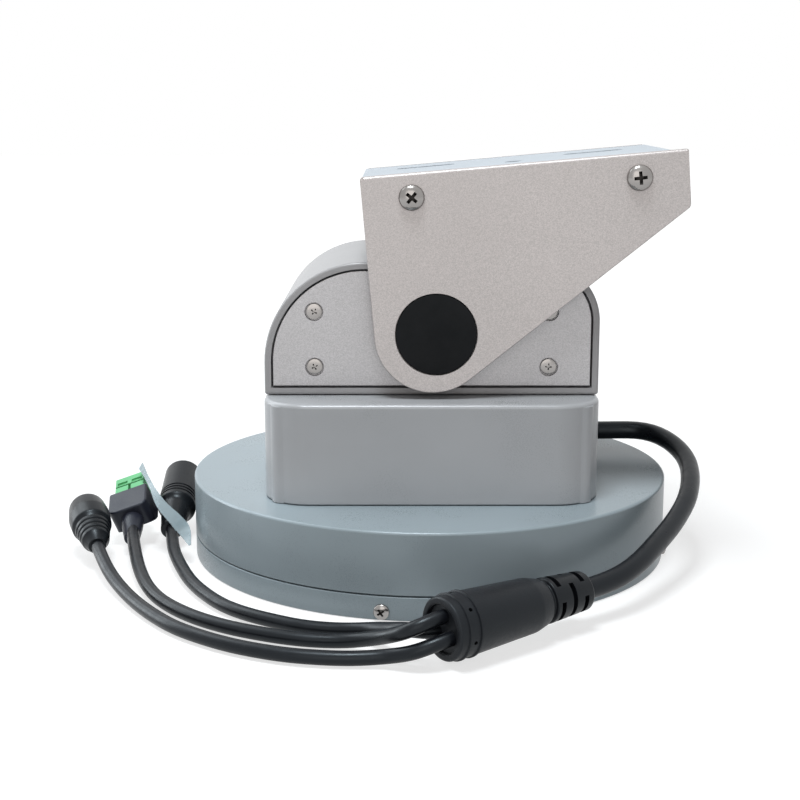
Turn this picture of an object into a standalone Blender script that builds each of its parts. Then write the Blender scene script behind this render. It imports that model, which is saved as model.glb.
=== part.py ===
"""Motorized pan tilt mount: a round base, a turning body and a cradle that tilts on it.

The base stands on its flat underside, with its centre at the origin. The front looks along -Y.
The body turns about Z through the origin. The cradle tilts about a line along Y, and at rest its
free end is a little raised. Every size is in metres.
"""

import math

import bmesh
import bpy
from mathutils import Matrix, Vector

# Clearances
SEAT_GAP = 0.0003
TOOTH_BACKLASH = 0.00015

# Facets of round pieces
ROUND_LARGE = 40
ROUND_MEDIUM = 16
ROUND_FITTING = 10
ROUND_SMALL = 8
FACET_ERROR = 0.0002

# Base
BASE_RADIUS = 0.095
SKIRT_HEIGHT = 0.0088
SKIRT_WALL = 0.004
SKIRT_CHAMFER = 0.0005
PLATE_FLOOR = 0.004
PLATE_RIM_WALL = 0.006
PLATE_RIM_DROP = 0.0008
PLATE_BOSS_RADIUS = 0.020
PLATE_BOSS_HEIGHT = 0.006
MOUNT_HOLE_RADIUS = 0.00275
MOUNT_HOLE_CIRCLE = 0.066
MOUNT_HOLE_COUNT = 4
SKIRT_SCREW_HEIGHT = 0.0033
SKIRT_SCREW_COUNT = 4
SKIRT_SCREW_TURN = math.radians(-101.1)

# Pan bearing and spindle
CABLE_BORE_RADIUS = 0.008
SPINDLE_TUBE_RADIUS = 0.012
SPINDLE_FLANGE_RADIUS = 0.019
SPINDLE_FLANGE_HEIGHT = 0.004
SPINDLE_SEAT_RADIUS = 0.015
SPINDLE_SHOULDER = 0.002
SPINDLE_NUT_RADIUS = 0.0175
SPINDLE_NUT_HEIGHT = 0.003
BEARING_HEIGHT = 0.0078
BEARING_RACE_WALL = 0.0042
BALL_RADIUS = 0.0026
BALL_GAP = 0.0006
BALL_COUNT = 10
CAGE_SHARE = 0.22
GROOVE_SHARE = 0.95
RACE_GROOVE_DEPTH = 0.0015
BEARING_HUB_WALL = 0.0042
BEARING_LIP = 0.0028
RETAINER_HEIGHT = 0.0027

# Pan gears
PAN_MODULE = 0.0014
PAN_RING_TEETH = 60
PAN_PINION_TEETH = 15
PAN_RING_FACE = 0.006
PAN_PINION_FACE = 0.0054
PAN_RING_BORE_RADIUS = 0.034
PAN_RING_HEIGHT = 0.012
PAN_RING_SCREW_CIRCLE = 0.0372
PAN_RING_SCREW_COUNT = 4
PAN_MOTOR_AZIMUTH = math.radians(135.0)
PRESSURE_ANGLE = math.radians(20.0)
ADDENDUM_SHARE = 0.9
DEDENDUM_SHARE = 1.2
FLANK_STEPS = 1

# Turntable
PAN_GAP = 0.0006
TURNTABLE_HEIGHT = 0.0231
TURNTABLE_WALL = 0.004
TURNTABLE_DECK = 0.004
TURNTABLE_EDGE = 0.0011

# Body housing
HOUSING_WIDTH = 0.125
HOUSING_DEPTH = 0.1222
HOUSING_HEIGHT = 0.0377
HOUSING_CORNER = 0.017
HOUSING_WALL = 0.003
HOUSING_EDGE = 0.0007
HOUSING_POST_RADIUS = 0.0045
HOUSING_OPENING_WIDTH = 0.096
HOUSING_OPENING_DEPTH = 0.070

# Arch
ARCH_DEPTH = 0.087
ARCH_HEIGHT = 0.0497
ARCH_LEFT_RADIUS = 0.0375
ARCH_RIGHT_RADIUS = 0.0223
ARCH_FOOT_RADIUS = 0.001
ARCH_WALL = 0.0025
ARCH_EDGE = 0.0005
ARCH_LIP = 0.003
ARCH_LIP_DEPTH = 0.002
COVER_THICKNESS = 0.0025
COVER_RECESS = 0.0003
COVER_SIDE_GAP = 0.0007
COVER_SCREW_SIDE = 0.0188
COVER_SCREW_LOW = 0.0105
COVER_SCREW_DROP = 0.0184
COVER_SCREW_HOLE = 0.0035
COVER_SCREW_SINK = 0.0017
GASKET_HEIGHT = 0.0014
STANDOFF_RADIUS = 0.0032
THREAD_DEPTH = 0.007

# Tilt axis and cradle
TILT_AXIS_RISE = 0.024
TILT_AXIS_X = 0.0015
REST_TILT = math.radians(4.94)
SHAFT_RADIUS = 0.006
BUSH_WALL = 0.003
BUSH_LENGTH = 0.008
BUSH_FLANGE_RADIUS = 0.012
BUSH_FLANGE_THICKNESS = 0.0014
ARM_GAP = 0.005
ARM_THICKNESS = 0.003
ARM_ROUND_RADIUS = 0.0216
ARM_TOP = 0.0592
ARM_REACH = 0.0964
ARM_END_HEIGHT = 0.0206
ARM_TOP_CORNER = 0.003
ARM_END_CORNER = 0.0022
ARM_EDGE = 0.0004
ARM_SETBACK = 0.0012
REAR_ARM_DROP = 0.0016
HUB_RADIUS = 0.014
HUB_THICKNESS = 0.0026
HUB_SCREW_CIRCLE = 0.0095
HUB_SCREW_COUNT = 4
CAP_RADIUS = 0.015
CAP_THICKNESS = 0.0012
CAP_RECESS = 0.0001
CAP_POCKET = 0.0016
PLATFORM_THICKNESS = 0.002
PLATFORM_FLANGE = 0.015
PLATFORM_BEND = 0.0025
PLATFORM_INNER_BEND = 0.0008
PLATFORM_HOLE_RADIUS = 0.0033
PLATFORM_SLOT_LENGTH = 0.024
PLATFORM_SLOT_SPREAD = 0.021
PLATFORM_SLOT_OFFSET = 0.034
PLATFORM_SCREW_INSET = 0.018
PLATFORM_SCREW_DROP = 0.0087
PLATFORM_NUT_RADIUS = 0.0046
PLATFORM_NUT_HEIGHT = 0.0018

# Tilt gears and motors
TILT_MODULE = 0.00125
TILT_GEAR_TEETH = 30
TILT_PINION_TEETH = 14
TILT_GEAR_FACE = 0.008
TILT_GEAR_START = 0.0205
TILT_GEAR_HUB_RADIUS = 0.010
TILT_GEAR_HUB_LENGTH = 0.005
TILT_MOTOR_RADIUS = 0.014
TILT_MOTOR_LENGTH = 0.050
TILT_MOTOR_FACE = 0.0165
TILT_MOTOR_BOSS_RADIUS = 0.006
TILT_SHAFT_RADIUS = 0.0025
BRACKET_THICKNESS = 0.002
BRACKET_WIDTH = 0.038
BRACKET_FOOT = 0.016
BRACKET_HEAD_ROOM = 0.003
PAN_MOTOR_RADIUS = 0.017
PAN_MOTOR_HEIGHT = 0.030
PAN_MOTOR_BOSS_RADIUS = 0.010
PAN_SHAFT_RADIUS = 0.003
MOTOR_SHAFT_DEPTH = 0.006
MOTOR_EDGE = 0.001

# Control board
BOARD_WIDTH = 0.090
BOARD_DEPTH = 0.038
BOARD_THICKNESS = 0.0016
BOARD_CENTRE_Y = -0.036
BOARD_RISE = 0.006
BOARD_POST_RADIUS = 0.0025
BOARD_POST_INSET = 0.0045

# Screws: head radius, head height, shank radius, shank length
SKIRT_SCREW = (0.0029, 0.0019, 0.0015, 0.0075)
RING_SCREW = (0.0026, 0.0016, 0.0015, 0.0060)
COVER_SCREW = (0.0030, 0.0014, 0.0015, 0.0060)
PLATFORM_SCREW = (0.0048, 0.0031, 0.0025, 0.0068)
HUB_SCREW = (0.0028, 0.0012, 0.0015, 0.0036)

# Cable gland, cable and splitter
GLAND_PLACE = (0.0256, 0.0413)
GLAND_FLANGE_RADIUS = 0.008
GLAND_FLANGE_THICKNESS = 0.0022
GLAND_NECK_RADIUS = 0.006
GLAND_TIP_RADIUS = 0.0046
GLAND_TAPER_LENGTH = 0.007
CABLE_DIAMETER = 0.0075
LEAD_DIAMETER = 0.005
SPLITTER_START = Vector((0.0015, -0.1342, 0.0122))
SPLITTER_END = Vector((0.0513, -0.0983, 0.0130))
SPLITTER_BODY_LENGTH = 0.042
SPLITTER_WIDE_RADIUS = 0.0108
SPLITTER_NARROW_RADIUS = 0.0093
SPLITTER_SHOULDER_RADIUS = 0.0080
SPLITTER_RING_RISE = 0.0004
SPLITTER_RING_WIDTH = 0.0016
SPLITTER_RINGS = (0.0035, 0.0085)
SPLITTER_MOUTH_RADIUS = 0.0082
SPLITTER_MOUTH_DEPTH = 0.006
RELIEF_START_RADIUS = 0.0080
RELIEF_END_RADIUS = 0.0069
RELIEF_GROOVES = 4
RELIEF_GROOVE_DEPTH = 0.0009
LEAD_SPREAD = 0.0043
LEAD_ANGLES = (math.radians(210.0), math.radians(90.0), math.radians(-30.0))
LEAD_END_GAP = 0.0008

# Lead ends: where each connector's tail sits, and where its nose points
POWER_TAIL = Vector((-0.1288, -0.0385, 0.0100))
POWER_NOSE = Vector((-0.1396, -0.0071, 0.0175))
POWER_RADIUS = 0.0082
POWER_TAIL_RADIUS = 0.0050
POWER_RIBS = 3
POWER_SOCKET_RADIUS = 0.0030
POWER_SOCKET_DEPTH = 0.009
SERIAL_TAIL = Vector((-0.1206, -0.0079, 0.0110))
SERIAL_NOSE = Vector((-0.1227, 0.0068, 0.0153))
SERIAL_WIDTH = 0.0164
SERIAL_HEIGHT = 0.0130
SERIAL_ROLL = math.radians(-20.0)
SERIAL_EDGE = 0.0012
PLUG_WIDTH = 0.0126
PLUG_HEIGHT = 0.0100
PLUG_LENGTH = 0.013
PLUG_STEP = 0.0042
PLUG_HOLE_RADIUS = 0.0014
NETWORK_TAIL = Vector((-0.1045, -0.0107, 0.0080))
NETWORK_NOSE = Vector((-0.1056, 0.0340, 0.0192))
NETWORK_RADIUS = 0.0082
NETWORK_TAIL_RADIUS = 0.0044
NETWORK_RELIEF_LENGTH = 0.018
NETWORK_RIBS = 3
NETWORK_SOCKET = (0.0117, 0.0083, 0.010)
TAG_WIDTH = 0.0062
TAG_THICKNESS = 0.0004
TAG_ROUTE = (
    (-0.1206, 0.0143, 0.0285),
    (-0.1134, -0.0047, 0.0254),
    (-0.1078, -0.0144, 0.0200),
    (-0.1017, -0.0207, 0.0160),
    (-0.0974, -0.0238, 0.0120),
    (-0.0942, -0.0308, 0.0080),
)
TAG_TURN = (
    math.radians(80.0),
    math.radians(55.0),
    math.radians(25.0),
    math.radians(10.0),
    math.radians(10.0),
    math.radians(30.0),
)

# Route points of the main cable, between the gland and the splitter
CABLE_ROUTE = (
    (0.0903, 0.0256, 0.0415),
    (0.0977, 0.0187, 0.0405),
    (0.1025, 0.0081, 0.0385),
    (0.1048, -0.0023, 0.0360),
    (0.1043, -0.0133, 0.0338),
    (0.1026, -0.0236, 0.0316),
    (0.0992, -0.0358, 0.0285),
    (0.0945, -0.0458, 0.0254),
    (0.0885, -0.0568, 0.0224),
    (0.0815, -0.0677, 0.0196),
    (0.0745, -0.0782, 0.0168),
    (0.0662, -0.0873, 0.0143),
)

# Route points of the three leads, from the splitter's mouth to their connectors
POWER_ROUTE = (
    (-0.0061, -0.1401, 0.0070),
    (-0.0118, -0.1370, 0.0046),
    (-0.0182, -0.1352, 0.0032),
    (-0.0279, -0.1355, 0.0028),
    (-0.0376, -0.1346, 0.0028),
    (-0.0475, -0.1327, 0.0028),
    (-0.0575, -0.1290, 0.0028),
    (-0.0680, -0.1237, 0.0028),
    (-0.0789, -0.1160, 0.0028),
    (-0.0898, -0.1061, 0.0028),
    (-0.1008, -0.0916, 0.0029),
    (-0.1098, -0.0773, 0.0034),
    (-0.1179, -0.0628, 0.0049),
    (-0.1234, -0.0518, 0.0073),
)
SERIAL_ROUTE = (
    (-0.0080, -0.1385, 0.0138),
    (-0.0133, -0.1335, 0.0102),
    (-0.0192, -0.1270, 0.0066),
    (-0.0284, -0.1214, 0.0034),
    (-0.0384, -0.1197, 0.0028),
    (-0.0486, -0.1174, 0.0028),
    (-0.0590, -0.1132, 0.0028),
    (-0.0698, -0.1076, 0.0028),
    (-0.0812, -0.0993, 0.0028),
    (-0.0914, -0.0888, 0.0028),
    (-0.0996, -0.0775, 0.0031),
    (-0.1058, -0.0653, 0.0042),
    (-0.1110, -0.0502, 0.0058),
    (-0.1151, -0.0347, 0.0076),
    (-0.1184, -0.0201, 0.0092),
)
NETWORK_ROUTE = (
    (-0.0090, -0.1314, 0.0112),
    (-0.0147, -0.1246, 0.0086),
    (-0.0205, -0.1164, 0.0056),
    (-0.0287, -0.1112, 0.0033),
    (-0.0373, -0.1090, 0.0028),
    (-0.0460, -0.1064, 0.0028),
    (-0.0550, -0.1013, 0.0028),
    (-0.0642, -0.0953, 0.0028),
    (-0.0740, -0.0862, 0.0028),
    (-0.0829, -0.0732, 0.0029),
    (-0.0902, -0.0595, 0.0034),
    (-0.0966, -0.0430, 0.0046),
    (-0.1011, -0.0281, 0.0059),
)

# Heights and places that follow from the sizes above
SKIRT_INNER = BASE_RADIUS - SKIRT_WALL
PLATE_RADIUS = SKIRT_INNER - SEAT_GAP
SPINDLE_FLANGE_Z = PLATE_BOSS_HEIGHT + SEAT_GAP
TURNTABLE_BOTTOM = SKIRT_HEIGHT + PAN_GAP
TURNTABLE_TOP = TURNTABLE_BOTTOM + TURNTABLE_HEIGHT
DECK_UNDERSIDE = TURNTABLE_TOP - TURNTABLE_DECK
BEARING_TOP = DECK_UNDERSIDE - 2 * SEAT_GAP - (BEARING_LIP - TURNTABLE_DECK / 2)
BEARING_BOTTOM = BEARING_TOP - BEARING_HEIGHT
INNER_RACE_BORE = SPINDLE_SEAT_RADIUS + SEAT_GAP
INNER_RACE_OUTER = INNER_RACE_BORE + BEARING_RACE_WALL
BALL_CIRCLE = INNER_RACE_OUTER - RACE_GROOVE_DEPTH + BALL_GAP + BALL_RADIUS
OUTER_RACE_INNER = BALL_CIRCLE + BALL_RADIUS + BALL_GAP - RACE_GROOVE_DEPTH
OUTER_RACE_OUTER = OUTER_RACE_INNER + BEARING_RACE_WALL
HUB_BORE = OUTER_RACE_OUTER + SEAT_GAP
HUB_OUTER = HUB_BORE + BEARING_HUB_WALL
PAN_CENTRES = PAN_MODULE * (PAN_RING_TEETH + PAN_PINION_TEETH) / 2
PAN_MOTOR_X = PAN_CENTRES * math.cos(PAN_MOTOR_AZIMUTH)
PAN_MOTOR_Y = PAN_CENTRES * math.sin(PAN_MOTOR_AZIMUTH)
HOUSING_BOTTOM = TURNTABLE_TOP + SEAT_GAP
HOUSING_TOP = HOUSING_BOTTOM + HOUSING_HEIGHT
ARCH_BOTTOM = HOUSING_TOP + SEAT_GAP
ARCH_TOP = ARCH_BOTTOM + ARCH_HEIGHT
COVER_FACE = ARCH_DEPTH / 2 - COVER_RECESS
COVER_BACK = COVER_FACE - COVER_THICKNESS
GASKET_BACK = COVER_BACK - SEAT_GAP - GASKET_HEIGHT
LIP_FACE = GASKET_BACK - SEAT_GAP
TILT_AXIS_Z = ARCH_BOTTOM + TILT_AXIS_RISE
TILT_CENTRES = TILT_MODULE * (TILT_GEAR_TEETH + TILT_PINION_TEETH) / 2
TILT_MOTOR_Z = TILT_AXIS_Z - TILT_CENTRES
ARM_INNER = ARCH_DEPTH / 2 + ARM_GAP
ARM_OUTER = ARM_INNER + ARM_THICKNESS
HUB_FACE = ARM_INNER - SEAT_GAP
PLATFORM_SIDE = ARM_INNER - SEAT_GAP
BUSH_RADIUS = SHAFT_RADIUS + SEAT_GAP + BUSH_WALL
HOUSING_SIDE = HOUSING_WIDTH / 2
GLAND_TIP_X = HOUSING_SIDE + SEAT_GAP + GLAND_FLANGE_THICKNESS + GLAND_TAPER_LENGTH

ALONG_X = Matrix.Rotation(math.radians(90.0), 4, "Y")
ALONG_Y = Matrix.Rotation(math.radians(-90.0), 4, "X")
ALONG_MINUS_Y = Matrix.Rotation(math.radians(90.0), 4, "X")


def clear_scene():
    """Remove every object that the file holds."""
    for thing in list(bpy.data.objects):
        bpy.data.objects.remove(thing, do_unlink=True)


def finish(name, colour, roughness, metallic):
    """Return a plain Principled finish."""
    made = bpy.data.materials.new(name)
    made.use_nodes = True
    shader = made.node_tree.nodes["Principled BSDF"]
    shader.inputs["Base Color"].default_value = (*colour, 1.0)
    shader.inputs["Roughness"].default_value = roughness
    shader.inputs["Metallic"].default_value = metallic
    made.diffuse_color = (*colour, 1.0)
    return made


def make_finishes():
    """Return the finishes of the mount by name."""
    return {
        "painted_metal": finish("painted_metal", (0.42, 0.45, 0.48), 0.38, 0.55),
        "silver_metal": finish("silver_metal", (0.55, 0.53, 0.52), 0.42, 0.6),
        "steel": finish("steel", (0.60, 0.60, 0.61), 0.28, 1.0),
        "brass": finish("brass", (0.62, 0.45, 0.20), 0.35, 1.0),
        "black_rubber": finish("black_rubber", (0.02, 0.02, 0.022), 0.6, 0.0),
        "black_plastic": finish("black_plastic", (0.03, 0.03, 0.035), 0.5, 0.0),
        "cable_jacket": finish("cable_jacket", (0.02, 0.02, 0.025), 0.35, 0.0),
        "grey_plastic": finish("grey_plastic", (0.07, 0.07, 0.10), 0.45, 0.0),
        "green_plastic": finish("green_plastic", (0.22, 0.62, 0.32), 0.4, 0.0),
        "board_green": finish("board_green", (0.03, 0.18, 0.08), 0.5, 0.0),
        "clear_film": finish("clear_film", (0.55, 0.68, 0.75), 0.25, 0.0),
    }


def face_outward(shape):
    """Point every face of a closed shape outward."""
    bmesh.ops.recalc_face_normals(shape, faces=shape.faces[:])
    if shape.calc_volume(signed=True) < 0:
        bmesh.ops.reverse_faces(shape, faces=shape.faces[:])


def add_object(name, shape, material, parent):
    """Turn a bmesh into a named object with smooth shading on its round faces."""
    face_outward(shape)
    mesh = bpy.data.meshes.new(name)
    shape.to_mesh(mesh)
    shape.free()
    mesh.materials.append(material)
    mesh.shade_smooth()
    mesh.set_sharp_from_angle(angle=math.radians(32.0))
    made = bpy.data.objects.new(name, mesh)
    bpy.context.scene.collection.objects.link(made)
    made.parent = parent
    return made


def add_axis(name, place, tilt=0.0, parent=None):
    """Add an empty on a joint's axis, tilted about Y."""
    made = bpy.data.objects.new(name, None)
    bpy.context.scene.collection.objects.link(made)
    made.parent = parent
    made.location = place
    made.rotation_euler = (0.0, -tilt, 0.0)
    return made


def cut(target, tool, mode="DIFFERENCE"):
    """Cut a bmesh tool out of an object, or join it on, with an exact Boolean."""
    face_outward(tool)
    mesh = bpy.data.meshes.new(target.name + "_tool")
    tool.to_mesh(mesh)
    tool.free()
    cutter = bpy.data.objects.new(mesh.name, mesh)
    bpy.context.scene.collection.objects.link(cutter)
    cutter.parent = target.parent
    cutter.hide_render = True
    cutter.display_type = "WIRE"
    boolean = target.modifiers.new(mesh.name, "BOOLEAN")
    boolean.operation = mode
    boolean.solver = "EXACT"
    boolean.object = cutter
    return cutter


def absorb(shape, part, place=None):
    """Move a bmesh part into another bmesh, keeping it a separate shell."""
    if place is not None:
        part.transform(place)
    mesh = bpy.data.meshes.new("part")
    part.to_mesh(mesh)
    part.free()
    shape.from_mesh(mesh)
    bpy.data.meshes.remove(mesh)
    return shape


def turned(profile, segments):
    """Revolve a closed profile of (radius, height) points about Z."""
    shape = bmesh.new()
    points = [shape.verts.new((radius, 0.0, height)) for radius, height in profile]
    edges = [shape.edges.new((points[i - 1], points[i])) for i in range(len(points))]
    bmesh.ops.spin(
        shape,
        geom=points + edges,
        cent=(0.0, 0.0, 0.0),
        axis=(0.0, 0.0, 1.0),
        angle=2 * math.pi,
        steps=segments,
        use_merge=True,
    )
    bmesh.ops.remove_doubles(shape, verts=shape.verts[:], dist=1e-6)
    bmesh.ops.dissolve_degenerate(shape, edges=shape.edges[:], dist=1e-6)
    on_axis = [edge for edge in shape.edges if edge.is_wire]
    bmesh.ops.delete(shape, geom=on_axis, context="EDGES")
    return shape


def turn_between(start, end):
    """Return the matrix that stands local Z on the line from start to end."""
    direction = Vector(end) - Vector(start)
    turn = direction.to_track_quat("Z", "Y").to_matrix().to_4x4()
    return Matrix.Translation(start) @ turn


def rod(start, end, radius, segments=ROUND_SMALL):
    """Return a straight round rod between two points."""
    start = Vector(start)
    end = Vector(end)
    shape = bmesh.new()
    bmesh.ops.create_cone(
        shape,
        cap_ends=True,
        cap_tris=False,
        segments=segments,
        radius1=radius,
        radius2=radius,
        depth=(end - start).length,
        matrix=turn_between((start + end) / 2, (start + end) / 2 + (end - start)),
    )
    return shape


def block(low, high):
    """Return a box between two corners."""
    low = Vector(low)
    high = Vector(high)
    size = high - low
    shape = bmesh.new()
    place = Matrix.Translation((low + high) / 2) @ Matrix.Diagonal((*size, 1.0))
    bmesh.ops.create_cube(shape, size=1.0, matrix=place)
    return shape


def circle(radius, segments=ROUND_MEDIUM, centre=(0.0, 0.0)):
    """Return the points of a circle."""
    turn = 2 * math.pi / segments
    return [
        (centre[0] + radius * math.cos(turn * i), centre[1] + radius * math.sin(turn * i))
        for i in range(segments)
    ]


def rounded(corners):
    """Return an outline whose corners, given as (x, y, radius), are replaced by arcs."""
    outline = []
    count = len(corners)
    for i, (x, y, radius) in enumerate(corners):
        corner = Vector((x, y))
        back = (Vector(corners[i - 1][:2]) - corner).normalized()
        ahead = (Vector(corners[(i + 1) % count][:2]) - corner).normalized()
        half = back.angle(ahead) / 2
        centre = corner + (back + ahead).normalized() * (radius / math.sin(half))
        start = corner + back * (radius / math.tan(half)) - centre
        sweep = math.pi - 2 * half
        facet = 2 * math.acos(1 - min(FACET_ERROR / radius, 0.3))
        steps = math.ceil(sweep / facet)
        if back.x * ahead.y - back.y * ahead.x > 0:
            sweep = -sweep
        for step in range(steps + 1):
            turn = Matrix.Rotation(sweep * step / steps, 2)
            point = centre + turn @ start
            outline.append((point.x, point.y))
    return outline


def extruded(outlines, low, high, axis="Z"):
    """Extrude an outline, with any holes in it, along an axis from low to high."""
    shape = bmesh.new()
    for outline in outlines:
        points = [shape.verts.new((x, y, low)) for x, y in outline]
        for i in range(len(points)):
            shape.edges.new((points[i - 1], points[i]))
        if len(outlines) == 1:
            shape.faces.new(points)
    if len(outlines) > 1:
        bmesh.ops.triangle_fill(shape, use_beauty=True, edges=shape.edges[:])
    raised = bmesh.ops.extrude_face_region(shape, geom=shape.faces[:])["geom"]
    moved = [item for item in raised if isinstance(item, bmesh.types.BMVert)]
    bmesh.ops.translate(shape, verts=moved, vec=(0.0, 0.0, high - low))
    if axis == "Y":
        shape.transform(Matrix(((1, 0, 0, 0), (0, 0, 1, 0), (0, 1, 0, 0), (0, 0, 0, 1))))
    if axis == "X":
        shape.transform(Matrix(((0, 0, 1, 0), (1, 0, 0, 0), (0, 1, 0, 0), (0, 0, 0, 1))))
    bmesh.ops.recalc_face_normals(shape, faces=shape.faces[:])
    return shape


def soften(shape, width, test, segments=1):
    """Bevel the edges of a bmesh that pass a test on their two ends."""
    edges = [edge for edge in shape.edges if test(edge.verts[0].co) and test(edge.verts[1].co)]
    bmesh.ops.bevel(
        shape,
        geom=edges,
        offset=width,
        offset_type="OFFSET",
        segments=segments,
        profile=0.5,
        affect="EDGES",
    )
    return shape


def rounded_box(width, depth, corner, inset=0.0):
    """Return the outline of a rectangle with round corners, drawn in by an inset."""
    x = width / 2 - inset
    y = depth / 2 - inset
    radius = max(corner - inset, SEAT_GAP)
    return rounded([(x, y, radius), (-x, y, radius), (-x, -y, radius), (x, -y, radius)])


def screw_profile(sizes):
    """Return the profile of a pan head screw whose head stands above z = 0."""
    head_radius, head_height, shank_radius, shank_length = sizes
    return [
        (0.0, -shank_length),
        (shank_radius, -shank_length),
        (shank_radius, 0.0),
        (head_radius, 0.0),
        (head_radius, head_height * 0.45),
        (head_radius * 0.80, head_height * 0.85),
        (head_radius * 0.40, head_height),
        (0.0, head_height),
    ]


def countersunk_profile(sizes, extra=0.0):
    """Return the profile of a countersunk screw, or of its hole with a little extra."""
    head_radius, head_height, shank_radius, shank_length = sizes
    return [
        (0.0, extra),
        (head_radius + extra, extra),
        (head_radius + extra, 0.0),
        (shank_radius + extra, -head_height),
        (shank_radius + extra, -shank_length),
        (0.0, -shank_length),
    ]


def add_screws(name, profile, places, material, parent):
    """Add identical screws that share one mesh, each at the matrix of its place."""
    first = add_object(name + "_1", turned(profile, ROUND_SMALL), material, parent)
    first.matrix_local = places[0]
    for number, place in enumerate(places[1:], start=2):
        copy = bpy.data.objects.new(f"{name}_{number}", first.data)
        bpy.context.scene.collection.objects.link(copy)
        copy.parent = parent
        copy.matrix_local = place


def screw_shapes(profile, places):
    """Return identical screws as one tool, to join to the piece that they are fixed in."""
    shape = bmesh.new()
    for place in places:
        absorb(shape, turned(profile, ROUND_SMALL), place)
    return shape


def ring_places(count, radius, height, turn=0.0):
    """Return points spread evenly round a circle."""
    step = 2 * math.pi / count
    return [
        Vector((radius * math.cos(turn + step * i), radius * math.sin(turn + step * i), height))
        for i in range(count)
    ]


def gear_outline(teeth, module, phase):
    """Return the outline of an involute gear with a tooth centred at the phase angle."""
    pitch_radius = module * teeth / 2
    base_radius = pitch_radius * math.cos(PRESSURE_ANGLE)
    tip_radius = pitch_radius + module * ADDENDUM_SHARE
    root_radius = pitch_radius - module * DEDENDUM_SHARE
    half_tooth = math.pi / (2 * teeth) - TOOTH_BACKLASH / pitch_radius
    at_pitch = math.tan(PRESSURE_ANGLE) - PRESSURE_ANGLE
    start_radius = max(base_radius, root_radius)
    flank = [(root_radius, 0.0)]
    for step in range(FLANK_STEPS + 1):
        radius = start_radius + (tip_radius - start_radius) * step / FLANK_STEPS
        pressure = math.acos(min(1.0, base_radius / radius))
        flank.append((radius, math.tan(pressure) - pressure))
    flank[0] = (root_radius, flank[1][1])
    if root_radius >= base_radius:
        flank = flank[1:]
    outline = []
    for tooth in range(teeth):
        centre = phase + 2 * math.pi * tooth / teeth
        for radius, roll in flank:
            angle = centre - half_tooth - at_pitch + roll
            outline.append((radius * math.cos(angle), radius * math.sin(angle)))
        for radius, roll in reversed(flank):
            angle = centre + half_tooth + at_pitch - roll
            outline.append((radius * math.cos(angle), radius * math.sin(angle)))
    return outline


def smooth_route(route, spacing):
    """Read evenly spaced points from a smooth curve through the route's points."""
    points = [Vector(point) for point in route]
    ends = [2 * points[0] - points[1]] + points + [2 * points[-1] - points[-2]]
    fine = []
    for i in range(1, len(ends) - 2):
        before, start, end, after = ends[i - 1 : i + 3]
        for step in range(16):
            t = step / 16
            fine.append(
                0.5
                * (
                    2 * start
                    + (end - before) * t
                    + (2 * before - 5 * start + 4 * end - after) * t**2
                    + (3 * start - before - 3 * end + after) * t**3
                )
            )
    fine.append(points[-1])
    lengths = [(fine[i + 1] - fine[i]).length for i in range(len(fine) - 1)]
    count = max(2, round(sum(lengths) / spacing))
    step = sum(lengths) / count
    even = [fine[0]]
    walked = 0.0
    target = step
    for i, length in enumerate(lengths):
        while walked + length >= target and len(even) < count:
            even.append(fine[i].lerp(fine[i + 1], (target - walked) / length))
            target += step
        walked += length
    even.append(fine[-1])
    return even


def add_cord(name, route, diameter, material, parent, resolution):
    """Add a round cord along a route as one filled tube."""
    curve = bpy.data.curves.new(name, "CURVE")
    curve.dimensions = "3D"
    curve.bevel_depth = diameter / 2
    curve.bevel_resolution = resolution
    curve.use_fill_caps = True
    points = smooth_route(route, 2.2 * diameter)
    line = curve.splines.new("POLY")
    line.points.add(len(points) - 1)
    for slot, point in zip(line.points, points):
        slot.co = (*point, 1.0)
    curve.materials.append(material)
    made = bpy.data.objects.new(name, curve)
    bpy.context.scene.collection.objects.link(made)
    made.parent = parent
    return made


def skirt_screw_places():
    """Return the matrices of the radial screws that hold the skirt."""
    places = []
    for spot in ring_places(SKIRT_SCREW_COUNT, 1.0, 0.0, SKIRT_SCREW_TURN):
        seat = spot * (BASE_RADIUS + SEAT_GAP) + Vector((0.0, 0.0, SKIRT_SCREW_HEIGHT))
        places.append(turn_between(seat, seat + spot))
    return places


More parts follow.
